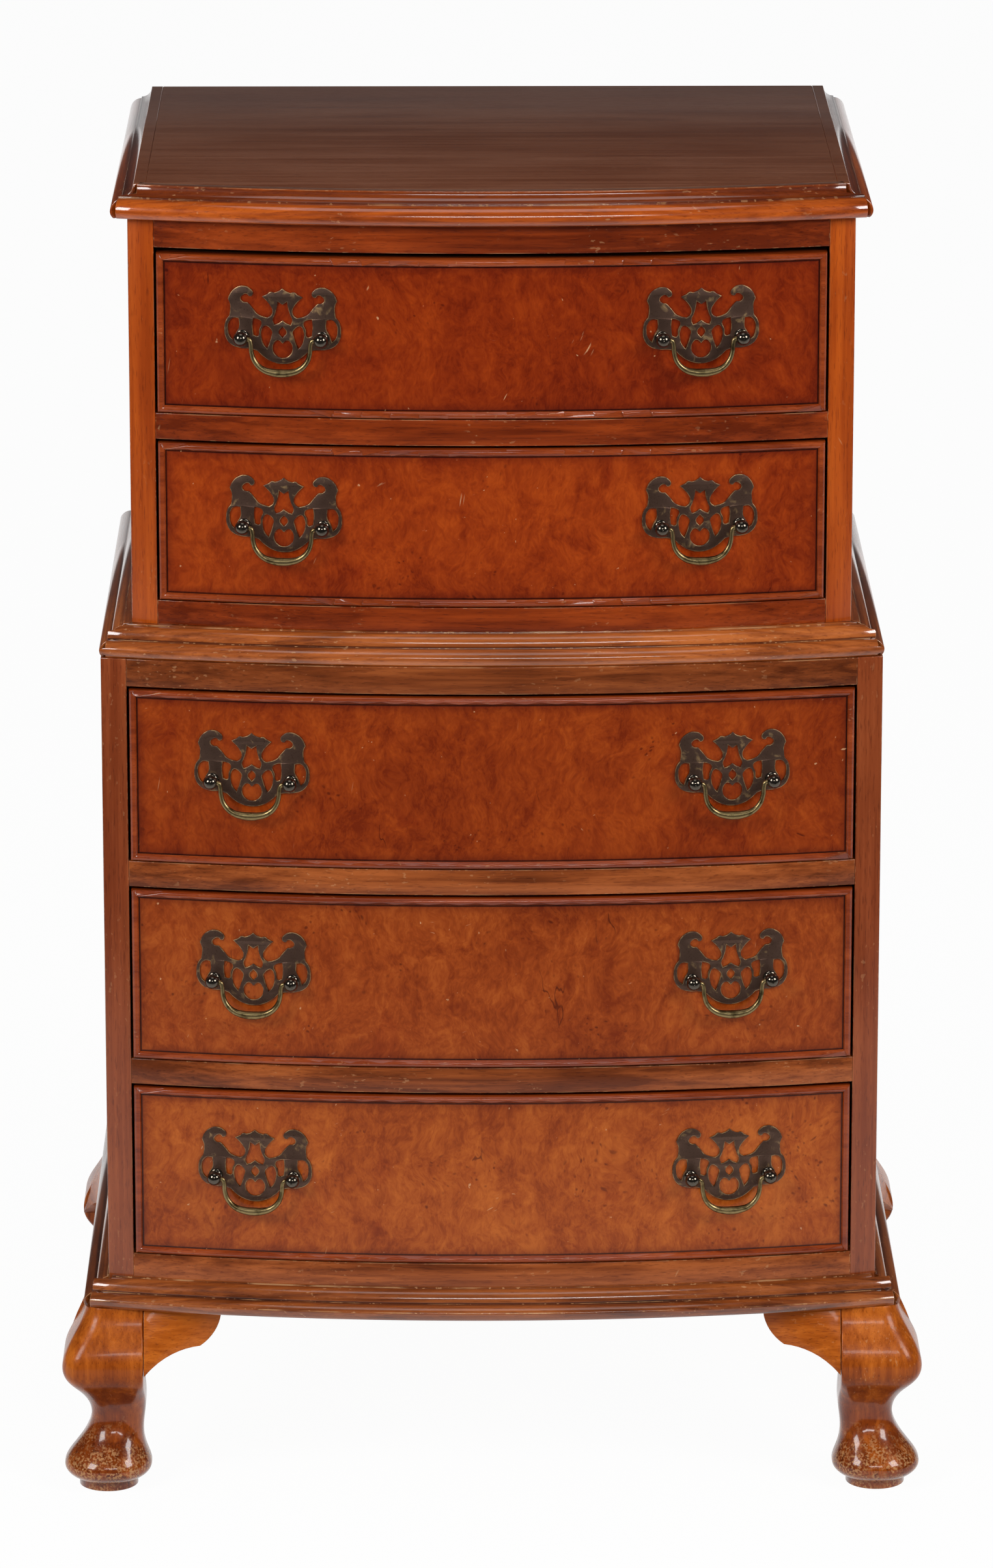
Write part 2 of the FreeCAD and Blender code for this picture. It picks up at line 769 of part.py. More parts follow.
def make_post(case):
    """A ball-headed post with a stem through the drawer front, and its nut inside."""
    half = "post_spacing / 2"
    drawn_back = f"(({half} - collar_radius)^2 / (2 * {case}_radius))"
    seat = f"(plate_thickness - {drawn_back})"
    nut_back = "(front_thickness + nut_height)"
    ball_back = "(pivot_reach - sqrt(ball_radius^2 - neck_radius^2))"
    section = [
        ("0", f"-{nut_back}", 0),
        ("stem_radius", f"-{nut_back}", 0),
        ("stem_radius", seat, 0),
        ("collar_radius", seat, 0),
        ("collar_radius", f"{seat} + collar_height", 0),
        ("neck_radius", f"{seat} + collar_height + neck_height / 2", "-neck_height"),
        ("neck_radius", ball_back, 0),
        ("ball_radius", "pivot_reach", "ball_radius"),
        ("0", "pivot_reach + ball_radius", "ball_radius"),
    ]
    sketch = place(outline(f"{case}_post_section", RIGHT, FRONT, section), x=half)
    turned = doc.addObject("Part::Revolution", f"{case}_post_turned")
    turned.Source = sketch
    turned.Axis = BACK
    turned.Solid = True
    turned.FaceMakerClass = "Part::FaceMakerBullseye"
    bind(turned, Base__x=half, Angle="360")
    bore = rod(f"{case}_post_bore", "bail_radius + bail_clearance", half, RIGHT)
    place(bore, x="bail_overlap + bail_clearance", y="-pivot_reach")
    right = cut(f"{case}_right_post", turned, bore)

    blank = doc.addObject("Part::Prism", f"{case}_nut_blank")
    blank.Polygon = 6
    blank.Placement = FreeCAD.Placement(FreeCAD.Vector(), FreeCAD.Rotation(UP, BACK))
    bind(blank, Circumradius="nut_radius", Height="nut_height")
    sunk = f"(({half} + nut_radius)^2 / (2 * ({case}_radius - front_thickness)))"
    place(blank, x=half, y=f"front_thickness + {sunk}")
    thread = place(rod(f"{case}_nut_thread", "stem_radius", f"2 * {nut_back}", BACK), x=half)
    nut = cut(f"{case}_right_nut", blank, thread)
    pair = [right, mirrored(f"{case}_left_post", right), nut, mirrored(f"{case}_left_nut", nut)]
    return grouped(f"{case}_posts", *pair)


def make_bores(case):
    """The holes for both stems of a handle."""
    bore = rod(f"{case}_bore", "stem_radius + stem_clearance", "4 * front_thickness", BACK)
    place(bore, x="post_spacing / 2", y="-2 * front_thickness")
    return grouped(f"{case}_bores", bore, mirrored(f"{case}_bore_left", bore))


def plate_points(points):
    """Points of the plate at its real size."""
    unit = f"plate_width / {DRAWN_PLATE_WIDTH}"
    return [(f"{x} * {unit}", f"{y} * {unit}", f"{radius} * {unit}") for x, y, radius in points]


def make_plate_half():
    """The right half of the pierced plate, flat, drawn out to more than its thickness."""
    depth = "2 * front_thickness"
    half = place(outline("plate_edge", RIGHT, UP, plate_points(PLATE_HALF)), y="front_thickness")
    loops = [plate_points(loop) for loop in PLATE_OPENINGS]
    openings = place(outline("plate_openings", RIGHT, UP, *loops), y="front_thickness")
    hole = rod("plate_hole", "stem_radius + stem_clearance", depth, FRONT)
    place(hole, x="post_spacing / 2", y="front_thickness")
    pierced = extruded("plate_piercing", openings, FRONT, depth)
    return cut("plate_half", extruded("plate_blank", half, FRONT, depth), pierced, hole)


def make_plate(case, half):
    """A plate bent to the bow that it lies on, with that bow's axis straight behind it."""
    shells = []
    for name, offset in (("outer", "plate_thickness"), ("inner", "0")):
        shell = doc.addObject("Part::Cylinder", f"{case}_plate_{name}")
        bind(shell, Radius=f"{case}_radius + {offset}", Height="2 * plate_width")
        shells.append(place(shell, y=f"{case}_radius", z="-plate_width"))
    bent = cut(f"{case}_plate_shell", *shells)
    right = common(f"{case}_plate_right", half, bent)
    return fused(f"{case}_plate", right, mirrored(f"{case}_plate_left", right))


def make_bail():
    """A bail on one bent rod, swelling at the grip, hanging from its pins."""
    body = doc.addObject("PartDesign::Body", "bail")
    pin = "(post_spacing / 2 + bail_overlap)"
    path = body.newObject("Sketcher::SketchObject", "bail_path")
    plane = next(p for p in body.Origin.OriginFeatures if p.Role == "XZ_Plane")
    path.AttachmentSupport = [(plane, "")]
    path.MapMode = "FlatFace"
    width, drop = "bail_half_width", "bail_drop"
    right = [
        (pin, "0", 0),
        (f"{width} + bail_bend", "0", 0),
        (width, "-bail_bend", "bail_bend"),
        (width, f"bail_sweep - {drop}", 0),
        (f"{width} - bail_sweep", f"-{drop}", "-bail_sweep"),
    ]
    left = [
        (f"bail_sweep - {width}", f"-{drop}", 0),
        (f"-{width}", f"bail_sweep - {drop}", "-bail_sweep"),
        (f"-{width}", "-bail_bend", 0),
        (f"-{width} - bail_bend", "0", "bail_bend"),
        (f"-{pin}", "0", 0),
    ]
    draw(path, right + left, closed=False)
    ring = "bail_radius"
    circle = [("0", ring, ring), (f"-{ring}", "0", ring), ("0", f"-{ring}", ring), (ring, "0", ring)]
    profile = body_sketch(body, "bail_section", "YZ_Plane", circle, lift=pin)
    doc.recompute()
    pipe = body.newObject("PartDesign::AdditivePipe", "bail_rod")
    pipe.Profile = profile
    pipe.Spine = path
    doc.recompute()
    length = "swell_half_length"
    crown = f"(({length}^2 + (swell_radius - {ring})^2) / (2 * (swell_radius - {ring})))"
    swell = [
        (f"-{length}", f"-{drop}", 0),
        (length, f"-{drop}", 0),
        (length, f"{ring} - {drop}", 0),
        (f"-{length}", f"{ring} - {drop}", crown),
    ]
    grip = body.newObject("PartDesign::Revolution", "bail_grip")
    section = body_sketch(body, "bail_swell", "XZ_Plane", swell)
    grip.Profile = section
    doc.recompute()
    grip.ReferenceAxis = (section, ["Edge2"])
    bind(grip, Angle="360")
    body.Tip = grip
    return place(body, y="-pivot_reach")


def fitted(name, source, number, side):
    """A copy of a handle's piece in its place on a drawer front."""
    case = CASES[number]
    link = doc.addObject("App::Link", name)
    link.LinkedObject = source
    link.LinkTransform = True
    axis = UP if side == "right" else -UP
    link.Placement = FreeCAD.Placement(FreeCAD.Vector(), FreeCAD.Rotation(axis, 1))
    across = f"{case}_handle" if side == "right" else f"-{case}_handle"
    place(
        link,
        x=across,
        y=f"{case}_centre - sqrt({case}_radius^2 - {case}_handle^2)",
        z=f"opening_{number} + seat_gap + {case}_face / 2",
    )
    return bind(link, Placement__Rotation__Angle=f"{case}_handle_turn")


# Drawers

def make_cock_bead(number, bows, half, low, high):
    """Four mitred strips with rounded fronts, let into a rebate round the drawer front."""
    case = CASES[number]
    name = f"drawer_{number}_bead"
    wall = "(bead_projection - bead_nose)"
    edge = f"({half} - bead_width)"
    corner, shoulder = (
        f"({case}_centre - sqrt(({case}_radius + {wall})^2 - {x}^2))" for x in (half, edge)
    )
    chord = f"(bead_width^2 + ({corner} - {shoulder})^2)"
    plan = [
        (f"-{half}", "back_face", 0),
        (f"-{half}", corner, 0),
        (f"-{edge}", shoulder, f"({chord} / 4 + bead_nose^2) / (2 * bead_nose)"),
        (f"-{edge}", "back_face", 0),
    ]
    plan_sketch = place(outline(f"{name}_plan", RIGHT, BACK, plan), z=low)
    stick = cut(f"{name}_stick", extruded(f"{name}_post", plan_sketch, UP, f"{case}_face"), bows["rebate"])

    section = [
        ("-bead_depth", "0", 0),
        (wall, "0", 0),
        (wall, "bead_width", "(bead_width^2 / 4 + bead_nose^2) / (2 * bead_nose)"),
        ("-bead_depth", "bead_width", 0),
    ]
    section_sketch = outline(f"{name}_section", FRONT, UP, section)
    place(section_sketch, y=f"{case}_centre - {case}_radius", z=f"{high} - bead_width")
    strip = swept(f"{name}_swept", section_sketch, case)

    # The mitres run on past the strips, both ways, at the slope that halves the corner.
    outer, inner = f"({half} + bead_width)", f"({half} - 2 * bead_width)"
    below, floor = f"({low} - bead_width)", f"({low} + 2 * bead_width)"
    above, head = f"({high} + bead_width)", f"({high} - 2 * bead_width)"
    left = [(f"-{outer}", below, 0), (f"-{inner}", floor, 0), (f"-{inner}", head, 0), (f"-{outer}", above, 0)]
    top = [(f"-{outer}", above, 0), (f"-{inner}", head, 0), (inner, head, 0), (outer, above, 0)]
    strips = []
    for side, blank, loop, normal in (("left", stick, left, RIGHT), ("top", strip, top, UP)):
        mitres = outline(f"{name}_{side}_mitres", RIGHT, UP, loop)
        region = extruded(f"{name}_{side}_region", mitres, FRONT, "total_depth")
        length = common(f"{name}_{side}", blank, region)
        strips += [length, mirrored(f"{name}_opposite_{side}", length, normal)]
    bind(strips[-1], Base__z=f"({low} + {high}) / 2")
    node(grouped(f"{name}_group", *strips), f"drawer_{number}_cock_bead")


def make_drawer(number, bows, handle):
    """One drawer: front, cock bead, box, bottom and its two handles."""
    case = CASES[number]
    name = f"drawer_{number}"
    floor = f"opening_{number}"
    half = f"({case}_width / 2 - side_thickness - side_gap)"
    low = f"({floor} + seat_gap)"
    high = f"({low} + {case}_face)"
    deep = ("-total_depth", "drawer_end")

    # The bottom slides in grooves in the sides and the front, and passes under the back.
    reach = f"({half} - drawer_side + panel_groove)"
    bed = (f"{floor} + panel_rise", f"{floor} + panel_rise + panel_thickness")
    panel = board(f"{name}_panel_blank", (f"-{reach}", reach), deep, bed)
    bottom = node(common(f"{name}_panel", panel, bows["groove"]), f"{name}_bottom")

    full = board(f"{name}_full", (f"-{half}", half), deep, (low, high))
    inner = f"({half} - bead_width)"
    clear = (f"{low} + bead_width", f"{high} - bead_width")
    field = board(f"{name}_field", (f"-{inner}", inner), deep, clear)
    ring = cut(f"{name}_ring", full, field)
    bowed = common(f"{name}_bowed", full, bows["face"])
    rebate = cut(f"{name}_rebate", ring, bows["rebate"])
    bores = [fitted(f"{name}_{side}_bores", handle["bores"], number, side) for side in SIDES]
    front = cut(f"{name}_front_panel", bowed, bows["inside"], rebate, bottom, *bores)
    node(front, f"{name}_front")
    make_cock_bead(number, bows, half, low, high)

    crest = f"{high} - side_drop"
    wall = f"-{half} + drawer_side"
    blank = board(f"{name}_side_blank", (f"-{half}", wall), deep, (floor, crest))
    left = cut(f"{name}_left", common(f"{name}_side", blank, bows["inside"]), bottom)
    span = f"({half} - drawer_side)"
    behind = ("drawer_end - drawer_back", "drawer_end")
    back = board(f"{name}_back", (f"-{span}", span), behind, (bed[1], crest))
    node(grouped(f"{name}_box_group", left, mirrored(f"{name}_right", left), back), f"{name}_box")

    for piece, label in (("plate", "handle_plates"), ("posts", "handle_posts")):
        pair = [fitted(f"{name}_{side}_{piece}", handle[piece], number, side) for side in SIDES]
        node(grouped(f"{name}_{label}_pair", *pair), f"{name}_{label}")
    for side in SIDES:
        bail = fitted(f"{name}_{side}_bail_copy", handle["bail"], number, side)
        node(grouped(f"{name}_{side}_bail_group", bail), f"{name}_{side}_bail")


def check_and_write():
    """Stop if anything failed, then write each sub-part."""
    doc.recompute()
    failed = [o.Name for o in doc.Objects if "Invalid" in o.State or "Error" in o.State]
    bad = [n.Label for n in nodes if n.Shape.isNull() or not n.Shape.isValid() or not n.Shape.Solids]
    if failed or bad:
        raise RuntimeError(f"failed objects {failed}, bad shapes {bad}")
    os.makedirs("parts", exist_ok=True)
    for part in nodes:
        part.Shape.exportStep(f"parts/{part.Label}.step")
    print(len(nodes), "nodes,", sum(len(n.Shape.Solids) for n in nodes), "solids")


for alias, number in SIZES.items():
    add_cell(alias, str(number))
for alias, formula in FORMULAS.items():
    add_cell(alias, "=" + formula)
for edging, case in EDGINGS.items():
    add_corners(edging, case)
doc.recompute()

bows = {case: make_bows(case) for case in ("upper", "lower")}
upper_limits = [
    ("waist_top", "opening_2"),
    ("opening_2 + upper_opening", "opening_1"),
    ("opening_1 + first_opening", "top_bottom"),
]
lower_limits = [
    ("leg_height", "opening_5"),
    ("opening_5 + lower_opening", "opening_4"),
    ("opening_4 + lower_opening", "opening_3"),
    ("opening_3 + lower_opening", "waist_bottom"),
]
upper_tenons = make_rails("upper", upper_limits, (1, 2), bows["upper"])
lower_tenons = make_rails("lower", lower_limits, (3, 4, 5), bows["lower"])
make_sides("upper", "waist_top", "top_bottom", bows["upper"], upper_tenons)
make_sides("lower", "leg_height", "waist_bottom", bows["lower"], lower_tenons)
make_back("upper", "waist_top", "top_bottom")
make_back("lower", "leg_height", "waist_bottom")
make_runners()
make_bottom_board()
make_panel("top", "top_bottom", "total_height", "top_panel")
make_panel("waist", "waist_bottom", "waist_top", "waist_board")
make_moulding("top", "top_bottom", "hollow", "top_edge_moulding")
make_moulding("waist", "waist_bottom", "round", "waist_moulding")
make_moulding("base", "leg_height", "round", "base_moulding")
make_legs()
make_brackets()

plate_half = make_plate_half()
bail = make_bail()
handles = {
    case: {
        "posts": make_post(case),
        "bores": make_bores(case),
        "plate": make_plate(case, plate_half),
        "bail": bail,
    }
    for case in ("upper", "lower")
}
doc.recompute()
for number, case in CASES.items():
    make_drawer(number, bows[case], handles[case])
check_and_write()
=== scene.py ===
"""Dresses a small bow-fronted walnut chest on chest and sets it in a plain studio.

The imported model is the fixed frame: every piece here keeps its place and its size. Lengths are in
metres, +Z is up and the drawer fronts face -Y.
"""
import json
import logging
import math
from dataclasses import dataclass, field, replace
from enum import Enum
from typing import Iterable, Optional, Union

import bpy
from mathutils import Euler, Matrix, Vector


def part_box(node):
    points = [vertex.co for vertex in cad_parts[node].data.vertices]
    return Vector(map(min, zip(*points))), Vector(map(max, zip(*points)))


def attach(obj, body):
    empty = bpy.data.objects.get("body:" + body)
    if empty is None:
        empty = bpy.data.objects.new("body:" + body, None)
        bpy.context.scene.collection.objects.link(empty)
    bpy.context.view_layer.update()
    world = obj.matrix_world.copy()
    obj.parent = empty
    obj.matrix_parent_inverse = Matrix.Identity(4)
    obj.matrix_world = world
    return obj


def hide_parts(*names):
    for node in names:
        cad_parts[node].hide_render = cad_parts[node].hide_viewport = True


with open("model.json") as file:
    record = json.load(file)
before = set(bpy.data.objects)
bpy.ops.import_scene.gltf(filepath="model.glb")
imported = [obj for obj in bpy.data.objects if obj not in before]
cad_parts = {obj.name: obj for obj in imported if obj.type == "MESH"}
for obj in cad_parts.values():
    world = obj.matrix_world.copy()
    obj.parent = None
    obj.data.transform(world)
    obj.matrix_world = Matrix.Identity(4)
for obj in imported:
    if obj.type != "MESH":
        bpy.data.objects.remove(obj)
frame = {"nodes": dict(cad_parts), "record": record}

LOG = logging.getLogger("chest")
MM = 0.001
UPPER_BOW = 993.13 * MM
LOWER_BOW = 1170.9 * MM
UPPER_DRAWERS = 2
ARRIS = "arris"
SMOOTH_UNDER = math.radians(34.0)
SCRATCH_TURNS = (0.35, 1.15, 2.3)
HANDS = ("left", "right")

Number = Union[int, float]
Triple = tuple[float, float, float]
Colour = Triple
Band = tuple[float, float, float]
Outline = tuple[tuple[float, float, bool], ...]


def opaque(colour: Colour) -> tuple[float, float, float, float]:
    """A colour with full alpha."""
    return (*colour, 1.0)


def bow_of(drawer: int) -> float:
    """The radius of a drawer's front, with the drawers counted from the top."""
    return UPPER_BOW if drawer <= UPPER_DRAWERS else LOWER_BOW


def placed(name: str, data: bpy.types.ID) -> bpy.types.Object:
    """A new object in the scene.

    Args:
        name: the object's name.
        data: its mesh, curve, lamp or camera.

    Returns:
        The object, at the origin.
    """
    thing = bpy.data.objects.new(name, data)
    bpy.context.scene.collection.objects.link(thing)
    return thing


class Grain(Enum):
    """The axis that the grain of a piece runs along, with the turn that lays it on X."""

    ALONG_X = (0.0, 0.0, 0.0)
    ALONG_Y = (0.0, 0.0, -math.pi / 2)
    ALONG_Z = (0.0, math.pi / 2, 0.0)


class Tint(Enum):
    """What darkens a finish, as the share of red, green and blue that it leaves."""

    PORE = (0.50, 0.40, 0.34)
    # Painted shade in creases and under overhangs, with dirt
    DIRT = (0.26, 0.19, 0.15)
    GRIME = (0.52, 0.40, 0.30)
    PIT = (0.30, 0.20, 0.15)
    EYE = (0.34, 0.22, 0.18)
    BLUSH = (0.76, 0.54, 0.40)
    # Old polish and painted shade near the cock bead
    STAIN = (0.46, 0.32, 0.26)
    # The joint against the cock bead, with painted shade in that corner
    JOINT = (0.12, 0.07, 0.05)
    SPLIT = (0.25, 0.15, 0.12)
    DUST = (0.55, 0.46, 0.38)
    SPECK = (0.55, 0.50, 0.45)


# Shader graphs

class Sock:
    """A value in a shader graph that takes Python's arithmetic."""

    def __init__(self, graph: "Graph", socket: bpy.types.NodeSocket) -> None:
        """Wrap an output socket of a node in a graph."""
        self.graph = graph
        self.socket = socket

    def _math(self, operation: str, first: "Value", second: "Value") -> "Sock":
        """Add a Math node."""
        return self.graph.add("ShaderNodeMath", {"operation": operation}, {0: first, 1: second})

    def __add__(self, other: "Value") -> "Sock":
        """Sum."""
        return self._math("ADD", self, other)

    __radd__ = __add__

    def __sub__(self, other: "Value") -> "Sock":
        """Difference."""
        return self._math("SUBTRACT", self, other)

    def __rsub__(self, other: "Value") -> "Sock":
        """Difference the other way round."""
        return self._math("SUBTRACT", other, self)

    def __mul__(self, other: "Value") -> "Sock":
        """Product."""
        return self._math("MULTIPLY", self, other)

    __rmul__ = __mul__

    def lesser(self, other: "Value") -> "Sock":
        """The smaller of two values."""
        return self._math("MINIMUM", self, other)

    def greater(self, other: "Value") -> "Sock":
        """The larger of two values."""
        return self._math("MAXIMUM", self, other)

    def size(self) -> "Sock":
        """The value without its sign."""
        return self._math("ABSOLUTE", self, 0.0)

    def rise(self, low: Number, high: Number) -> "Sock":
        """A smooth step.

        Args:
            low: value where the step starts, at 0.
            high: value where it ends, at 1. It may lie below low, for a step down.

        Returns:
            The share of the step, from 0 to 1.
        """
        settings = {"interpolation_type": "SMOOTHSTEP"}
        if low < high:
            return self.graph.add(
                "ShaderNodeMapRange", settings, {"Value": self, "From Min": low, "From Max": high}
            )
        return 1.0 - self.rise(high, low)


Value = Union[Sock, Number]


class Graph:
    """The nodes of one material."""

    FIRST_COLOUR, SECOND_COLOUR, MIXED_COLOUR = 6, 7, 2

    def __init__(self, name: str) -> None:
        """Start a material with a surface shader and nothing else."""
        self.material = bpy.data.materials.new(name)
        self.material.use_nodes = True
        self.tree = self.material.node_tree
        self.surface = self.tree.nodes["Principled BSDF"]

    @classmethod
    def of_world(cls, world: bpy.types.World) -> "Graph":
        """The nodes of a world.

        Args:
            world: the world, with its nodes in use.

        Returns:
            The graph, which has no surface shader.
        """
        graph = cls.__new__(cls)
        graph.tree = world.node_tree
        return graph

    def add(self, kind: str, settings: dict, sockets: dict, output: Union[int, str] = 0) -> Sock:
        """Add a node.

        Args:
            kind: the node's type.
            settings: its properties, or the stops of a colour ramp, which are set first.
            sockets: values or links for its inputs, by name or by place.
            output: the output that is used.

        Returns:
            That output.
        """
        node = self.tree.nodes.new(kind)
        for name, setting in settings.items():
            if name == "stops":
                self._set_stops(node.color_ramp, setting)
            else:
                setattr(node, name, setting)
        for name, value in sockets.items():
            if isinstance(value, Sock):
                self.tree.links.new(value.socket, node.inputs[name])
            else:
                node.inputs[name].default_value = value
        return Sock(self, node.outputs[output])

    @staticmethod
    def _set_stops(ramp: bpy.types.ColorRamp, stops: list[tuple[float, Colour]]) -> None:
        """Give a colour ramp its stops.

        Args:
            ramp: the new ramp.
            stops: the place and the colour of each stop.
        """
        while len(ramp.elements) < len(stops):
            ramp.elements.new(1.0)
        for element, (place, colour) in zip(ramp.elements, stops):
            element.position = place
            element.color = opaque(colour)

    def spot(self) -> Sock:
        """Where a point is on the object, in metres."""
        return self.add("ShaderNodeTexCoord", {}, {}, "Object")

    def place(self, grain: Grain, shift: Triple = (0.0, 0.0, 0.0)) -> Sock:
        """Where a point of the piece is, with its grain laid along X.

        Args:
            grain: the axis of the grain.
            shift: moves the pattern, after the turn.

        Returns:
            The place, in metres.
        """
        sockets = {"Vector": self.spot(), "Rotation": grain.value, "Location": shift}
        return self.add("ShaderNodeMapping", {}, sockets)

    def stretch(self, place: Sock, scale: Triple) -> Sock:
        """A place measured in other units along each axis."""
        return self.add("ShaderNodeVectorMath", {"operation": "MULTIPLY"}, {0: place, 1: scale})

    def parts(self, place: Sock) -> tuple[Sock, Sock, Sock]:
        """The three coordinates of a place.

        Args:
            place: the place.

        Returns:
            Its coordinates along X, Y and Z.
        """
        first = self.add("ShaderNodeSeparateXYZ", {}, {"Vector": place})
        outputs = first.socket.node.outputs
        return first, Sock(self, outputs[1]), Sock(self, outputs[2])

    def cloud(self, place: Sock, scale: Number, detail: Number = 3.0, swirl: Number = 0.0) -> Sock:
        """Soft noise.

        Args:
            place: where the noise is read.
            scale: how many lumps there are to a unit of place.
            detail: octaves.
            swirl: how far the noise distorts itself.

        Returns:
            A value about 0.5.
        """
        sockets = {"Vector": place, "Scale": scale, "Detail": detail, "Distortion": swirl}
        return self.add("ShaderNodeTexNoise", {}, sockets)

    def mix(
        self, first: Union[Sock, Colour], second: Union[Sock, Colour], share: Value, blend: str = "MIX"
    ) -> Sock:
        """One colour turning into another.

        Args:
            first: the colour where the share is 0.
            second: the colour where it is 1.
            share: how far the first has turned into the second.
            blend: how the second is laid over the first.

        Returns:
            The colour between them.
        """
        first, second = (one if isinstance(one, Sock) else opaque(one) for one in (first, second))
        settings = {"data_type": "RGBA", "blend_type": blend}
        sockets = {0: share, self.FIRST_COLOUR: first, self.SECOND_COLOUR: second}
        return self.add("ShaderNodeMix", settings, sockets, self.MIXED_COLOUR)

    def tint(self, colour: Sock, tint: Tint, share: Value) -> Sock:
        """A colour darkened by a tint."""
        return self.mix(colour, tint.value, share, "MULTIPLY")

    def ramp(self, share: Sock, stops: list[tuple[float, Colour]]) -> Sock:
        """A colour that runs through stops."""
        return self.add("ShaderNodeValToRGB", {"stops": stops}, {"Fac": share})

    def arris(self) -> Sock:
        """1 on the rounded edges of a softened piece, and 0 elsewhere."""
        return self.add("ShaderNodeAttribute", {"attribute_name": ARRIS}, {}, "Fac")

    def scratches(self, place: Sock, amount: float) -> Sock:
        """Fine straight marks in a few directions, each only here and there.

        Args:
            place: where the marks are read.
            amount: share of the surface that has any.

        Returns:
            1 in a mark.
        """
        marks: Optional[Sock] = None
        for number, turn in enumerate(SCRATCH_TURNS):
            slanted = self.add(
                "ShaderNodeMapping",
                {},
                {"Vector": place, "Rotation": (turn, turn, turn), "Location": (number, 0.0, 0.0)},
            )
            line = self.cloud(self.stretch(slanted, (22.0, 620.0, 620.0)), 1.0, 1.0).rise(0.70, 0.76)
            here = self.cloud(slanted, 34.0, 1.0).rise(0.78 - amount, 0.86 - amount)
            marks = line * here if marks is None else marks.greater(line * here)
        return marks

    def bump(self, height: Sock, depth: float, strength: float) -> None:
        """Raise the surface.

        Args:
            height: how high it is raised, from 0 to 1.
            depth: what a height of 1 stands for, in metres.
            strength: how much of that shows.
        """
        sockets = {"Height": height, "Distance": depth, "Strength": strength}
        normal = self.add("ShaderNodeBump", {}, sockets)
        self.tree.links.new(normal.socket, self.surface.inputs["Normal"])

    def show(self, constants: dict, **varying: Sock) -> bpy.types.Material:
        """Set the surface shader.

        Args:
            constants: values that are the same all over.
            varying: links, by the socket's name with underscores for spaces.

        Returns:
            The finished material.
        """
        for name, number in constants.items():
            self.surface.inputs[name].default_value = number
        for name, sock in varying.items():
            self.tree.links.new(sock.socket, self.surface.inputs[name.replace("_", " ")])
        return self.material


# Finishes

def shade(tone: Colour, level: float, warmth: float) -> Colour:
    """A tone made lighter or darker, and yellower or redder.

    Args:
        tone: the tone to start from.
        level: how much lighter.
        warmth: more than 1 turns it yellow, and less turns it red.

    Returns:
        The new tone.
    """
    red, green, blue = tone
    return (red * level, green * level * warmth, blue * level * warmth * warmth)


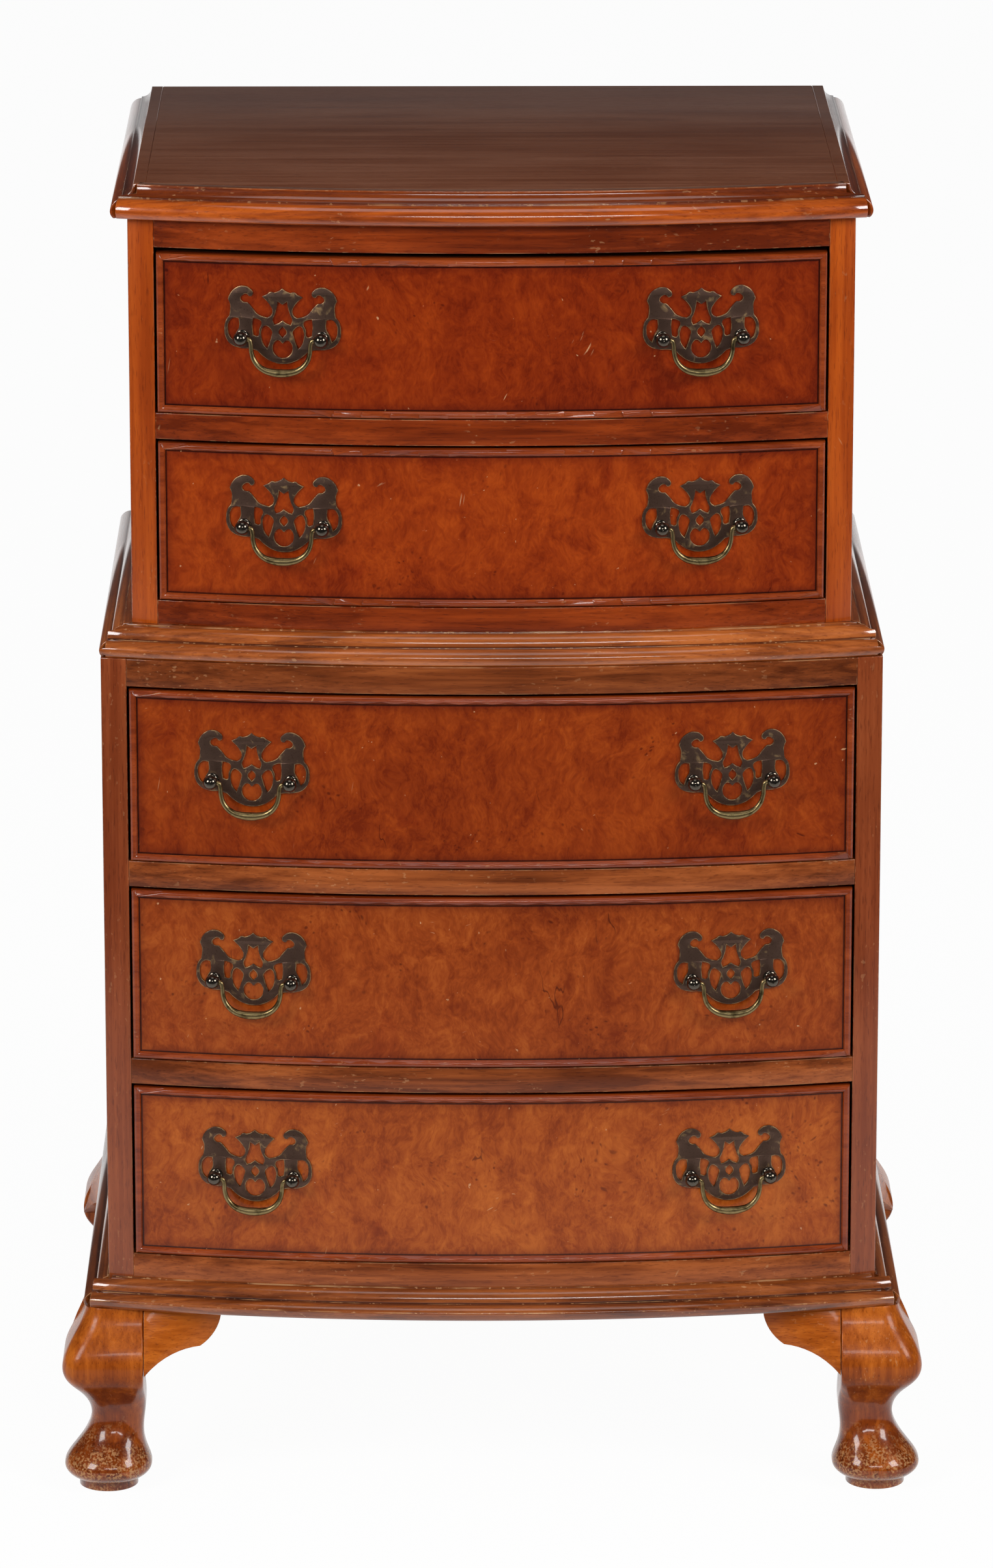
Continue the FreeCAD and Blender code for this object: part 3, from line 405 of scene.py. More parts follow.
@dataclass(frozen=True)
class Walnut:
    """Straight-grained polished walnut.

    The tone is the wood's mean colour, contrast is how far its grain departs from that, and worn is
    bare wood where the polish has gone. Heights in metres say below which a foot is scuffed, above
    which the polish has dulled and, with a share, between which a level band is darkened with painted
    shade and dirt.
    """

    name: str
    tone: Colour
    contrast: float = 0.42
    worn: Colour = (0.52, 0.27, 0.12)
    rub: float = 0.5
    gloss: float = 0.30
    polish: float = 0.40
    coat_gloss: float = 0.10
    coat_index: float = 1.5
    relief: float = 0.12
    band_scale: float = 26.0
    scuffed_below: float = 0.0
    dull_above: float = 0.0
    dull_over: float = 30.0 * MM
    # Level bands darkened with painted shade and dirt: lower height, upper height and share
    shade_and_dirt: tuple[Band, ...] = ()
    shade_and_dirt_fade: float = 0.4 * MM

    def build(self, grain: Grain) -> bpy.types.Material:
        """Make the material for pieces with one direction of grain.

        Args:
            grain: the axis of the grain.

        Returns:
            The material.
        """
        graph = Graph(f"{self.name}_{grain.name.lower()}")
        # Grain, in bands, streaks and threads, with open pores
        place = graph.place(grain)
        streak = graph.cloud(graph.stretch(place, (5.0, 210.0, 210.0)), 1.0, 5.0, 0.5)
        thread = graph.cloud(graph.stretch(place, (16.0, 620.0, 620.0)), 1.0, 2.0)
        band = graph.cloud(graph.stretch(place, (3.4, self.band_scale, self.band_scale)), 1.0, 3.0, 1.1)
        drift = graph.cloud(place, 11.0, 2.0)
        pores = graph.cloud(graph.stretch(place, (110.0, 1500.0, 1500.0)), 1.0, 1.0).rise(0.58, 0.70)
        figure = streak * 0.34 + thread * 0.14 + band * 0.34 + drift * 0.18
        dark = shade(self.tone, 1.0 - self.contrast, 0.86)
        light = shade(self.tone, 1.0 + self.contrast, 1.14)
        colour = graph.ramp(figure, [(0.41, dark), (0.50, self.tone), (0.59, light)])
        colour = graph.tint(colour, Tint.PORE, pores * 0.60)

        # Painted shade and dirt in level bands, in creases and under overhangs
        height = graph.parts(graph.spot())[2]
        for low, high, share in self.shade_and_dirt:
            above = height.rise(low - self.shade_and_dirt_fade, low + self.shade_and_dirt_fade / 2)
            below = height.rise(high + self.shade_and_dirt_fade, high - self.shade_and_dirt_fade / 2)
            colour = graph.tint(colour, Tint.DIRT, above * below * share)

        # Wear, most of it on the arrises and the feet
        marks = graph.scratches(place, 0.08)
        flecks = graph.cloud(graph.stretch(place, (210.0, 420.0, 420.0)), 1.0, 2.0).rise(0.64, 0.70)
        flecks = flecks * graph.cloud(place, 19.0, 1.0).rise(0.50, 0.64)
        nicks = graph.cloud(place, 330.0, 2.0).rise(0.58, 0.64)
        rubbed = graph.cloud(graph.stretch(place, (30.0, 90.0, 90.0)), 1.0, 3.0).rise(0.50, 0.66)
        wear = graph.arris() * (rubbed * self.rub).greater(nicks * self.rub)
        wear = wear.greater(flecks * self.rub * 0.7)
        if self.scuffed_below:
            ankle = height.rise(self.scuffed_below * 1.5, self.scuffed_below)
            low = height.rise(self.scuffed_below, self.scuffed_below * 0.25)
            grime = graph.cloud(place, 70.0, 4.0, 0.5).rise(0.36, 0.58) * 0.5 + 0.5
            colour = graph.tint(colour, Tint.GRIME, ankle * grime)
            scuff = graph.cloud(place, 620.0, 6.0).rise(0.47, 0.60)
            patch = (graph.cloud(place, 105.0, 4.0) + low * 0.30).rise(0.62, 0.84)
            wear = wear.greater(scuff * patch * low)
            pits = graph.cloud(place, 420.0, 5.0).rise(0.56, 0.66)
            colour = graph.tint(colour, Tint.PIT, pits * low * 0.7)
        colour = graph.mix(colour, self.worn, wear.lesser(1.0) * 0.75)
        colour = graph.mix(colour, self.worn, marks * 0.5)

        rough = streak * 0.10 + wear * 0.25 + marks * 0.15 + (self.gloss - 0.05)
        graph.bump(streak * 0.4 - pores * 0.8 - wear, self.relief * MM, 0.30)
        shine = {
            "Coat Weight": self.polish,
            "Coat Roughness": self.coat_gloss,
            "Coat IOR": self.coat_index,
            "Specular IOR Level": 0.14,
        }
        material = graph.show(shine, Base_Color=colour, Roughness=rough)
        if self.dull_above:
            dulled = height.rise(self.dull_above, self.dull_above + self.dull_over)
            graph.show({}, Coat_Weight=self.polish - dulled * (self.polish * 0.8))
        return material


# Mouldings, which dusting keeps bright
RUBBED_UP = {"polish": 0.9, "coat_index": 1.65, "relief": 0.04}


@dataclass(frozen=True)
class Burr:
    """Figured burr veneer on a drawer front, in clouds and swirls with clusters of dark eyes.

    The front is bowed about an upright axis at the bow's centre, and plain wood lies behind its veneer.
    The half sizes are those of the field within the cock bead.
    """

    name: str
    tone: Colour
    eyes: float
    centre_height: float
    half_width: float
    half_height: float
    bow: float
    bow_centre: float
    seed: float
    veneer: float = 0.6 * MM
    ground: Colour = (0.235, 0.098, 0.038)
    chipped: Colour = (0.66, 0.37, 0.18)
    polish: float = 0.34
    contrast: float = 0.38

    def build(self) -> bpy.types.Material:
        """Make the material of one drawer front.

        Returns:
            The material.
        """
        graph = Graph(self.name)
        place = graph.place(Grain.ALONG_X, (0.0, 0.0, -self.centre_height))
        across, _, up = graph.parts(place)
        spot = graph.place(Grain.ALONG_X, (self.seed, 0.0, self.seed * 2.0))
        # Figure, read through a bent space
        swirl = {"Vector": spot, "Scale": 20.0, "Detail": 3.0}
        push = graph.add("ShaderNodeTexNoise", {}, swirl, "Color")
        bent = {0: push, 1: (0.036, 0.036, 0.036), 2: spot}
        pushed = graph.add("ShaderNodeVectorMath", {"operation": "MULTIPLY_ADD"}, bent)
        clouds = graph.cloud(pushed, 9.0, 3.0, 0.6)
        smoke = graph.cloud(pushed, 34.0, 4.0, 0.9)
        mottle = graph.cloud(graph.stretch(pushed, (120.0, 120.0, 84.0)), 1.0, 4.0, 1.0)
        flames = graph.cloud(graph.stretch(spot, (30.0, 6.0, 6.0)), 1.0, 3.0, 1.4)
        fine = graph.cloud(graph.stretch(pushed, (520.0, 520.0, 230.0)), 1.0, 3.0, 1.0)
        figure = clouds * 0.20 + smoke * 0.20 + mottle * 0.26 + flames * 0.14 + fine * 0.20
        dark = shade(self.tone, 1.0 - self.contrast, 0.74)
        light = shade(self.tone, 1.0 + self.contrast, 1.26)
        colour = graph.ramp(figure, [(0.40, dark), (0.50, self.tone), (0.60, light)])

        # Eyes in clusters, and darker blushes
        cell = {"Vector": pushed, "Scale": 230.0, "Randomness": 1.0}
        pip = graph.add("ShaderNodeTexVoronoi", {}, cell, "Distance").rise(0.34, 0.12)
        cluster = graph.cloud(spot, 21.0, 2.0, 0.6).rise(0.60 - self.eyes, 0.74 - self.eyes)
        pip = pip * cluster * graph.cloud(pushed, 160.0, 1.0).rise(0.42, 0.60)
        colour = graph.tint(colour, Tint.EYE, pip * 0.8)
        blush = graph.cloud(graph.stretch(pushed, (30.0, 30.0, 21.0)), 1.0, 3.0, 0.7).rise(0.60, 0.72)
        colour = graph.tint(colour, Tint.BLUSH, blush * 0.5)

        # Old polish and painted shade along the cock bead, and a dark joint line with painted shade in
        # the corner against it
        gap = (self.half_width - across.size()).lesser(self.half_height - up.size())
        stain_and_shade = gap.rise(7.0 * MM, 0.0) * 0.5 + gap.rise(24.0 * MM, 2.0 * MM) * 0.16
        # Dark joint line with painted shade in the corner against the bead
        line = gap.rise(1.5 * MM, 0.5 * MM)
        colour = graph.tint(colour, Tint.STAIN, stain_and_shade)
        colour = graph.tint(colour, Tint.JOINT, line * 0.92)

        # Splits, scratches and chips
        run = graph.cloud(graph.stretch(spot, (44.0, 44.0, 9.0)), 1.0, 3.0)
        split = (run - 0.5).size().rise(0.0060, 0.0012)
        split = split * graph.cloud(spot, 24.0, 1.0).rise(0.68, 0.71)
        colour = graph.tint(colour, Tint.SPLIT, split * 0.75)
        marks = graph.scratches(spot, 0.09)
        chips = graph.cloud(pushed, 260.0, 2.0).rise(0.75, 0.79)
        colour = graph.mix(colour, self.chipped, marks.greater(chips) * 0.55)

        # Plain wood behind the veneer
        level = graph.stretch(graph.place(Grain.ALONG_X, (0.0, -self.bow_centre, 0.0)), (1.0, 1.0, 0.0))
        radius = graph.add("ShaderNodeVectorMath", {"operation": "LENGTH"}, {0: level}, "Value")
        behind = radius.rise(self.bow - self.veneer, self.bow - 2 * self.veneer)
        plain = graph.cloud(graph.stretch(spot, (5.0, 190.0, 190.0)), 1.0, 4.0, 0.5)
        light, dark = shade(self.ground, 1.35, 1.1), shade(self.ground, 0.65, 0.9)
        colour = graph.mix(colour, graph.ramp(plain, [(0.38, dark), (0.62, light)]), behind)

        rough = fine * 0.08 + marks * 0.15 + stain_and_shade * 0.06 + behind * 0.35 + 0.26
        graph.bump(smoke * 0.4 + fine * 0.3 - split - marks * 0.4, 0.10 * MM, 0.20)
        shine = {"Coat Roughness": 0.12, "Specular IOR Level": 0.12}
        coat = self.polish - behind * self.polish
        return graph.show(shine, Base_Color=colour, Roughness=rough, Coat_Weight=coat)


@dataclass(frozen=True)
class BareWood:
    """Unpolished secondary wood, for linings, runners and backs."""

    name: str
    dark: Colour
    light: Colour

    def build(self, grain: Grain) -> bpy.types.Material:
        """Make the material for one direction of grain.

        Args:
            grain: the axis of the grain.

        Returns:
            The material.
        """
        graph = Graph(f"{self.name}_{grain.name.lower()}")
        place = graph.place(grain)
        streak = graph.cloud(graph.stretch(place, (4.0, 150.0, 150.0)), 1.0, 5.0, 0.6)
        band = graph.cloud(graph.stretch(place, (1.6, 20.0, 20.0)), 1.0, 3.0, 1.4)
        dirt = graph.cloud(place, 8.0, 4.0).rise(0.52, 0.74)
        colour = graph.ramp(streak * 0.55 + band * 0.45, [(0.36, self.dark), (0.64, self.light)])
        colour = graph.tint(colour, Tint.DUST, dirt * 0.5)
        graph.bump(streak, 0.3 * MM, 0.4)
        rough = streak * 0.12 + 0.62
        return graph.show({"Specular IOR Level": 0.25}, Base_Color=colour, Roughness=rough)


@dataclass(frozen=True)
class Patina:
    """Old brass, dark where it is toned, and bright where hands rub it and along its edges."""

    name: str
    toned: Colour
    rubbed: Colour
    bright: float
    gloss: float
    metal: float = 1.0
    relief: float = 0.15

    def build(self) -> bpy.types.Material:
        """Make the material.

        Returns:
            The material.
        """
        graph = Graph(self.name)
        place = graph.place(Grain.ALONG_X)
        blotch = graph.cloud(place, 160.0, 4.0, 0.5)
        speck = graph.cloud(place, 900.0, 3.0)
        edge = graph.arris() * graph.cloud(place, 260.0, 2.0).rise(0.38, 0.62)
        spread = self.bright * 0.45
        share = blotch.rise(0.70 - spread, 0.92 - spread).greater(edge * 0.85)
        colour = graph.mix(self.toned, self.rubbed, share)
        colour = graph.tint(colour, Tint.SPECK, speck.rise(0.55, 0.72) * 0.6)
        rough = blotch * 0.16 + speck * 0.10 + (self.gloss - 0.13)
        graph.bump(blotch * 0.6 + speck * 0.4, self.relief * MM, 0.35)
        return graph.show({"Metallic": self.metal}, Base_Color=colour, Roughness=rough)


# Pieces

@dataclass
class Softening:
    """How the sharp edges of a piece are eased, with its width in metres and its angles in radians."""

    width: float
    segments: int = 2
    sharp_over: float = math.radians(28.0)
    flat_under: float = math.radians(0.6)


@dataclass
class Bench:
    """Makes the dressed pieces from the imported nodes."""

    bodies: dict[str, str] = field(init=False)
    slots: dict[str, str] = field(init=False)
    weld: float = 0.004 * MM

    def __post_init__(self) -> None:
        """Look up the body and the material slot of every node."""
        groups = frame["record"]["behaviour"]["bodies"]
        self.bodies = {node: body for body, nodes in groups.items() for node in nodes}
        self.slots = {row["node"]: row["material_slot"] for row in frame["record"]["subparts"]}

    @staticmethod
    def clear() -> None:
        """Leave edit mode and let go of everything."""
        if bpy.context.mode != "OBJECT":
            bpy.ops.object.mode_set(mode="OBJECT")
        bpy.ops.object.select_all(action="DESELECT")

    @staticmethod
    def take(piece: bpy.types.Object) -> None:
        """Select one object and make it the active one.

        Args:
            piece: the object.
        """
        Bench.clear()
        piece.select_set(True)
        bpy.context.view_layer.objects.active = piece

    def softened(self, node: str, easing: Softening) -> bpy.types.Object:
        """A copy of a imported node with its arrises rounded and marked.

        Args:
            node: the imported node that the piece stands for.
            easing: width and fineness of the rounding.

        Returns:
            The new piece, riding on the node's body.
        """
        piece = placed(f"{node}_softened", frame["nodes"][node].data.copy())
        self.take(piece)
        bpy.ops.mesh.customdata_custom_splitnormals_clear()
        bpy.ops.object.mode_set(mode="EDIT")
        bpy.ops.mesh.select_all(action="SELECT")
        bpy.ops.mesh.remove_doubles(threshold=self.weld)
        bpy.ops.mesh.dissolve_limited(angle_limit=easing.flat_under)
        bpy.ops.object.mode_set(mode="OBJECT")
        return self.eased(piece, node, easing)

    def eased(self, piece: bpy.types.Object, node: str, easing: Softening) -> bpy.types.Object:
        """Round and mark the arrises of a piece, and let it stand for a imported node.

        Args:
            piece: the piece, with sharp edges.
            node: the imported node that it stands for.
            easing: width and fineness of the rounding.

        Returns:
            The piece, riding on the node's body.
        """
        self.take(piece)
        while len(piece.material_slots) < 2:
            bpy.ops.object.material_slot_add()
        bpy.ops.object.mode_set(mode="EDIT")
        bpy.ops.mesh.select_mode(type="EDGE")
        bpy.ops.mesh.select_all(action="DESELECT")
        bpy.ops.mesh.edges_select_sharp(sharpness=easing.sharp_over)
        bpy.ops.mesh.bevel(
            offset=easing.width,
            offset_type="OFFSET",
            segments=easing.segments,
            clamp_overlap=True,
            material=1,
        )
        bpy.ops.mesh.select_all(action="SELECT")
        bpy.ops.mesh.normals_make_consistent(inside=False)
        bpy.ops.object.mode_set(mode="OBJECT")
        bpy.ops.object.shade_smooth_by_angle(angle=SMOOTH_UNDER)
        arris = piece.data.attributes.new(ARRIS, "FLOAT", "FACE")
        arris.data.foreach_set("value", [float(face.material_index) for face in piece.data.polygons])
        self.stand_for(piece, node)
        return piece

    def stand_for(
        self, piece: bpy.types.Object, node: str, material: Optional[bpy.types.Material] = None
    ) -> None:
        """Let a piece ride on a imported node's body in its stead.

        Args:
            piece: the finished piece.
            node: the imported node.
            material: the piece's one finish, if it has it by now.
        """
        if material:
            self.finish(piece, material)
        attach(piece, self.bodies[node])
        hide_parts(node)
        LOG.info("%s: %d faces", piece.name, len(piece.data.polygons))

    @staticmethod
    def islands(mesh: bpy.types.Mesh) -> list[int]:
        """Find which vertices hang together.

        Args:
            mesh: the mesh, of one or more lengths.

        Returns:
            For each vertex, the lowest one that it is joined to through any edges.
        """
        root = list(range(len(mesh.vertices)))

        def find(vertex: int) -> int:
            """Follow the joins to their end."""
            while root[vertex] != vertex:
                root[vertex] = root[root[vertex]]
                vertex = root[vertex]
            return vertex

        for edge in mesh.edges:
            first, second = (find(vertex) for vertex in edge.vertices)
            root[max(first, second)] = min(first, second)
        return [find(vertex) for vertex in range(len(root))]

    def timber(self, piece: bpy.types.Object, woods: dict[Grain, bpy.types.Material]) -> None:
        """Give each separate length in a piece the grain along its longest side.

        Args:
            piece: the piece, of one or more lengths.
            woods: the same finish for each direction of grain.
        """
        mesh = piece.data
        labels = self.islands(mesh)
        lows: dict[int, Vector] = {}
        highs: dict[int, Vector] = {}
        for vertex, label in zip(mesh.vertices, labels):
            low, high = lows.get(label, vertex.co), highs.get(label, vertex.co)
            lows[label] = Vector(map(min, low, vertex.co))
            highs[label] = Vector(map(max, high, vertex.co))
        order = list(Grain)
        runs: dict[int, Grain] = {}
        for label in lows:
            spans = highs[label] - lows[label]
            runs[label] = order[max(range(3), key=lambda axis: spans[axis])]
        used = sorted(set(runs.values()), key=order.index)
        mesh.materials.clear()
        for grain in used:
            mesh.materials.append(woods[grain])
        for face in mesh.polygons:
            face.material_index = used.index(runs[labels[face.vertices[0]]])

    @staticmethod
    def finish(piece: bpy.types.Object, material: bpy.types.Material) -> None:
        """Give a whole piece one material.

        Args:
            piece: the piece.
            material: its material.
        """
        piece.data.materials.clear()
        piece.data.materials.append(material)
        for face in piece.data.polygons:
            face.material_index = 0

    @staticmethod
    def refinish(node: str, material: bpy.types.Material) -> None:
        """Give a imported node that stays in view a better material."""
        frame["nodes"][node].material_slots[0].material = material


def all_ways(finish: Union[Walnut, BareWood]) -> dict[Grain, bpy.types.Material]:
    """A finish made for every direction of grain."""
    return {grain: finish.build(grain) for grain in Grain}


def turned(start: Vector, end: Vector, radius: float, steps: int = 8) -> list[Vector]:
    """Points on an arc of under half a circle.

    Args:
        start: first point.
        end: last point.
        radius: size of the arc, which turns left if it is positive.
        steps: how many chords it has.

    Returns:
        The points, both ends included.
    """
    chord = end - start
    side = Vector((-chord.y, chord.x)).normalized() * math.copysign(1.0, radius)
    centre = (start + end) / 2 + side * math.sqrt(radius * radius - chord.length_squared / 4)
    sweep = math.copysign(2 * math.asin(chord.length / (2 * abs(radius))), radius)
    spoke = start - centre
    return [centre + Matrix.Rotation(sweep * step / steps, 2) @ spoke for step in range(steps + 1)]


@dataclass(frozen=True)
class Moulding:
    """A moulding of three lengths round a bowed case, mitred at the front corners.

    Sizes are in metres. The turn is the radius of the upper member, a hollow if it is positive and a
    round if it is negative, and drop is how far below the top that member ends. The shares darken
    bands of it: painted shade in the quirk and on the upper member, and a darker strip along the lip.
    """

    node: str
    bow: float
    projection: float
    width: float
    edge: float
    lip: float
    drop: float
    turn: float
    nose_width: float = 7.4 * MM
    nose_height: float = 5.8 * MM
    nose_radius: float = 7.8 * MM
    nose_under: float = 2.2 * MM
    under_radius: float = 6.4 * MM
    quirk: float = 1.0 * MM
    crest: float = 0.2 * MM
    # Shares of painted shade in the quirk and on the upper member, and of a darker strip along the lip
    quirk_dirt: float = 0.9
    member_dirt: float = 0.0
    lip_dirt: float = 0.5
    steps: int = 56
    overrun: float = 1.2

    def shade_and_dirt(self) -> tuple[Band, ...]:
        """Where the moulding is darkened, with painted shade in its quirk and on its upper member.

        Returns:
            The lower and upper height of the quirk, the upper member and the lip, each with its share.
        """
        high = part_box(self.node)[1].z
        ledge, brow = high - self.drop, high - self.lip
        return (
            (ledge - self.quirk, ledge, self.quirk_dirt),
            (ledge, brow, self.member_dirt),
            (brow, high - self.crest, self.lip_dirt),
        )

    def section(self, height: float) -> list[Vector]:
        """Draw the section.

        Args:
            height: its whole height.

        Returns:
            Its points, outwards and up from its inner lower corner.
        """
        shoulder = self.width - self.edge
        neck = self.width - self.nose_width
        ledge = height - self.drop
        nose = Vector((self.width, self.nose_height))
        return [
            Vector((0.0, 0.0)),
            Vector((0.0, height)),
            Vector((shoulder, height)),
            *turned(Vector((shoulder, height - self.lip)), Vector((neck, ledge)), self.turn),
            *turned(Vector((neck, ledge - self.quirk)), nose, -self.nose_radius),
            *turned(nose, Vector((self.width - self.nose_under, 0.0)), -self.under_radius)[1:],
        ]

    def build(self) -> bpy.types.Object:
        """Sweep the section round the front and along both sides.

        Returns:
            The three lengths as one piece with sharp edges.
        """
        low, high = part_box(self.node)
        section = self.section(high.z - low.z)
        swell = max(point.x for point in section) - self.width
        front_line, half_out = low.y + swell, high.x - swell
        outer = self.bow + self.projection
        centre = front_line + outer
        half_in = half_out - self.width
        corner_in = centre - math.sqrt((outer - self.width) ** 2 - half_in**2)
        corner_out = centre - math.sqrt(outer**2 - half_out**2)
        inner = Vector((half_in, corner_in, 0.0))
        across = Vector((corner_in - corner_out, self.width, 0.0))

        # The bowed front, sawn at both mitres
        pivot = Vector((0.0, centre, 0.0))
        reach = self.overrun * math.asin(half_out / outer)
        swing = Matrix.Translation(pivot) @ Matrix.Rotation(-reach, 4, "Z") @ Matrix.Translation(-pivot)
        back_line = front_line + self.width
        front = self.drawn(swing @ Vector((0.0, back_line - u, low.z + v)) for u, v in section)
        bpy.ops.mesh.spin(steps=self.steps, angle=-2 * reach, center=pivot, axis=(0.0, 0.0, 1.0))
        mirrors = [Vector((hand, 1.0, 1.0)) for hand in (1.0, -1.0)]
        for mirror in mirrors:
            self.sawn(inner * mirror, across * mirror, clear_outer=True)
        bpy.ops.object.mode_set(mode="OBJECT")

        # The straight sides, sawn to meet it
        lengths = [front]
        start = corner_out - self.width
        for mirror in mirrors:
            side = (Vector((half_in + u, start, low.z + v)) * mirror for u, v in section)
            lengths.append(self.drawn(side))
            bpy.ops.mesh.extrude_region_move(TRANSFORM_OT_translate={"value": (0.0, high.y - start, 0.0)})
            self.sawn(inner * mirror, across * mirror, clear_inner=True)
            bpy.ops.object.mode_set(mode="OBJECT")
        Bench.take(front)
        for length in lengths:
            length.select_set(True)
        bpy.ops.object.join()
        front.name = f"{self.node}_softened"
        return front

    def drawn(self, points: Iterable[Vector]) -> bpy.types.Object:
        """Draw the section as one face and select it in edit mode.

        Args:
            points: the section's points in their places.

        Returns:
            The new object.
        """
        outline = list(points)
        mesh = bpy.data.meshes.new(self.node)
        mesh.from_pydata(outline, [], [range(len(outline))])
        piece = placed(self.node, mesh)
        Bench.take(piece)
        bpy.ops.object.mode_set(mode="EDIT")
        bpy.ops.mesh.select_mode(type="FACE")
        bpy.ops.mesh.select_all(action="SELECT")
        return piece

    @staticmethod
    def sawn(point: Vector, across: Vector, **waste: bool) -> None:
        """Saw a mitre through a point, and drop the waste on one side of the cut."""
        bpy.ops.mesh.select_all(action="SELECT")
        bpy.ops.mesh.bisect(plane_co=point, plane_no=across, use_fill=True, **waste)


@dataclass
class Carcase:
    """The two cases with their mouldings."""

    bench: Bench
    board: Softening = field(default_factory=lambda: Softening(0.55 * MM, 3))
    edging: Softening = field(default_factory=lambda: Softening(0.35 * MM, 2))
    top: Walnut = Walnut("top_walnut", (0.158, 0.052, 0.024), 0.22, polish=0.10, coat_gloss=0.30, rub=0.2)
    upper_side: Walnut = Walnut("upper_side_walnut", (0.350, 0.056, 0.0030), 0.26, rub=0.35, polish=0.7)
    lower_side: Walnut = Walnut("lower_side_walnut", (0.225, 0.046, 0.0110), 0.26, rub=0.35, polish=0.7)
    upper_rail: Walnut = Walnut("upper_rail_walnut", (0.198, 0.0262, 0.0022), 0.44, rub=0.5)
    lower_rail: Walnut = Walnut("lower_rail_walnut", (0.232, 0.0525, 0.0100), 0.52, rub=0.6)
    top_moulding: Walnut = Walnut(
        "top_moulding_walnut", (0.320, 0.054, 0.0030), 0.45, rub=0.7, **RUBBED_UP
    )
    waist_moulding: Walnut = Walnut(
        "waist_moulding_walnut", (0.310, 0.074, 0.0130), 0.50, rub=0.9, **RUBBED_UP
    )
    base_moulding: Walnut = Walnut(
        "base_moulding_walnut", (0.215, 0.050, 0.0090), 0.55, rub=1.0, **RUBBED_UP
    )
    hidden: BareWood = BareWood("backing_pine", (0.230, 0.120, 0.050), (0.400, 0.235, 0.110))
    top_edge: Moulding = Moulding(
        "top_edge_moulding",
        UPPER_BOW,
        projection=10.5 * MM,
        width=22.0 * MM,
        edge=14.4 * MM,
        lip=1.2 * MM,
        drop=6.8 * MM,
        turn=7.0 * MM,
        member_dirt=0.75,
    )
    waist: Moulding = Moulding(
        "waist_moulding",
        LOWER_BOW,
        projection=0.8 * MM,
        width=30.0 * MM,
        edge=15.0 * MM,
        lip=0.8 * MM,
        drop=8.0 * MM,
        turn=-7.0 * MM,
    )
    base: Moulding = Moulding(
        "base_moulding",
        LOWER_BOW,
        projection=16.0 * MM,
        width=16.0 * MM,
        edge=15.0 * MM,
        lip=0.8 * MM,
        drop=8.0 * MM,
        turn=-7.6 * MM,
    )
    # Share of the painted shadow that the waist moulding casts on the rail below it
    under_waist_dirt: float = 0.36
    flat_over: float = 0.99
    top_within: float = 0.05 * MM

    def build(self) -> None:
        """Dress every fixed piece above the legs."""
        bench = self.bench
        top = self.top.build(Grain.ALONG_X)
        bench.finish(bench.softened("top_panel", self.board), top)
        # Painted shadow of the waist moulding, laid as a darker band on the top rail of the lower case
        shade_from, shade_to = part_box("drawer_3_cock_bead")[1].z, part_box("lower_rails_and_stops")[1].z
        waist_shadow_band = (shade_from, shade_to, self.under_waist_dirt)
        for case, side, rail in (
            ("upper", self.upper_side, self.upper_rail),
            ("lower", self.lower_side, replace(self.lower_rail, shade_and_dirt=(waist_shadow_band,))),
        ):
            upright = side.build(Grain.ALONG_Z)
            for hand in HANDS:
                bench.finish(bench.softened(f"{case}_{hand}_side", self.board), upright)
            rails = bench.softened(f"{case}_rails_and_stops", self.board)
            bench.timber(rails, all_ways(rail))
        for run, finish in (
            (self.top_edge, self.top_moulding),
            (self.waist, self.waist_moulding),
            (self.base, self.base_moulding),
        ):
            moulding = bench.eased(run.build(), run.node, self.edging)
            bench.timber(moulding, all_ways(replace(finish, shade_and_dirt=run.shade_and_dirt())))
            if run is self.top_edge:
                self.match_top(moulding, top)
        bench.finish(bench.softened("waist_board", self.board), self.waist_moulding.build(Grain.ALONG_X))
        backing = self.hidden.build(Grain.ALONG_X)
        for node in ("upper_back_panel", "lower_back_panel", "bottom_board"):
            bench.refinish(node, backing)
        bench.refinish("drawer_runners", self.hidden.build(Grain.ALONG_Y))

    def match_top(self, moulding: bpy.types.Object, top: bpy.types.Material) -> None:
        """Carry the finish of the top over the flat of the moulding round it.

        Args:
            moulding: the moulding, with its own finish.
            top: the finish of the top.
        """
        mesh = moulding.data
        mesh.materials.append(top)
        highest = max(vertex.co.z for vertex in mesh.vertices)
        for face in mesh.polygons:
            if face.normal.z > self.flat_over and face.center.z > highest - self.top_within:
                face.material_index = len(mesh.materials) - 1


@dataclass
class Legs:
    """Four cabriole legs and the brackets at their knees."""

    bench: Bench
    easing: Softening = field(default_factory=lambda: Softening(0.45 * MM, 2))
    walnut: Walnut = Walnut(
        "leg_walnut",
        (0.370, 0.082, 0.0070),
        0.34,
        worn=(0.52, 0.26, 0.10),
        rub=0.7,
        gloss=0.26,
        polish=0.60,
        coat_gloss=0.08,
        band_scale=34.0,
        scuffed_below=0.064,
        dull_above=0.052,
    )

    def build(self) -> None:
        """Dress the legs with upright grain and the brackets with level grain."""
        woods = all_ways(self.walnut)
        for row in ("front", "back"):
            for hand in HANDS:
                leg = self.bench.softened(f"{row}_{hand}_leg", self.easing)
                self.bench.finish(leg, woods[Grain.ALONG_Z])
        self.bench.timber(self.bench.softened("knee_brackets", self.easing), woods)


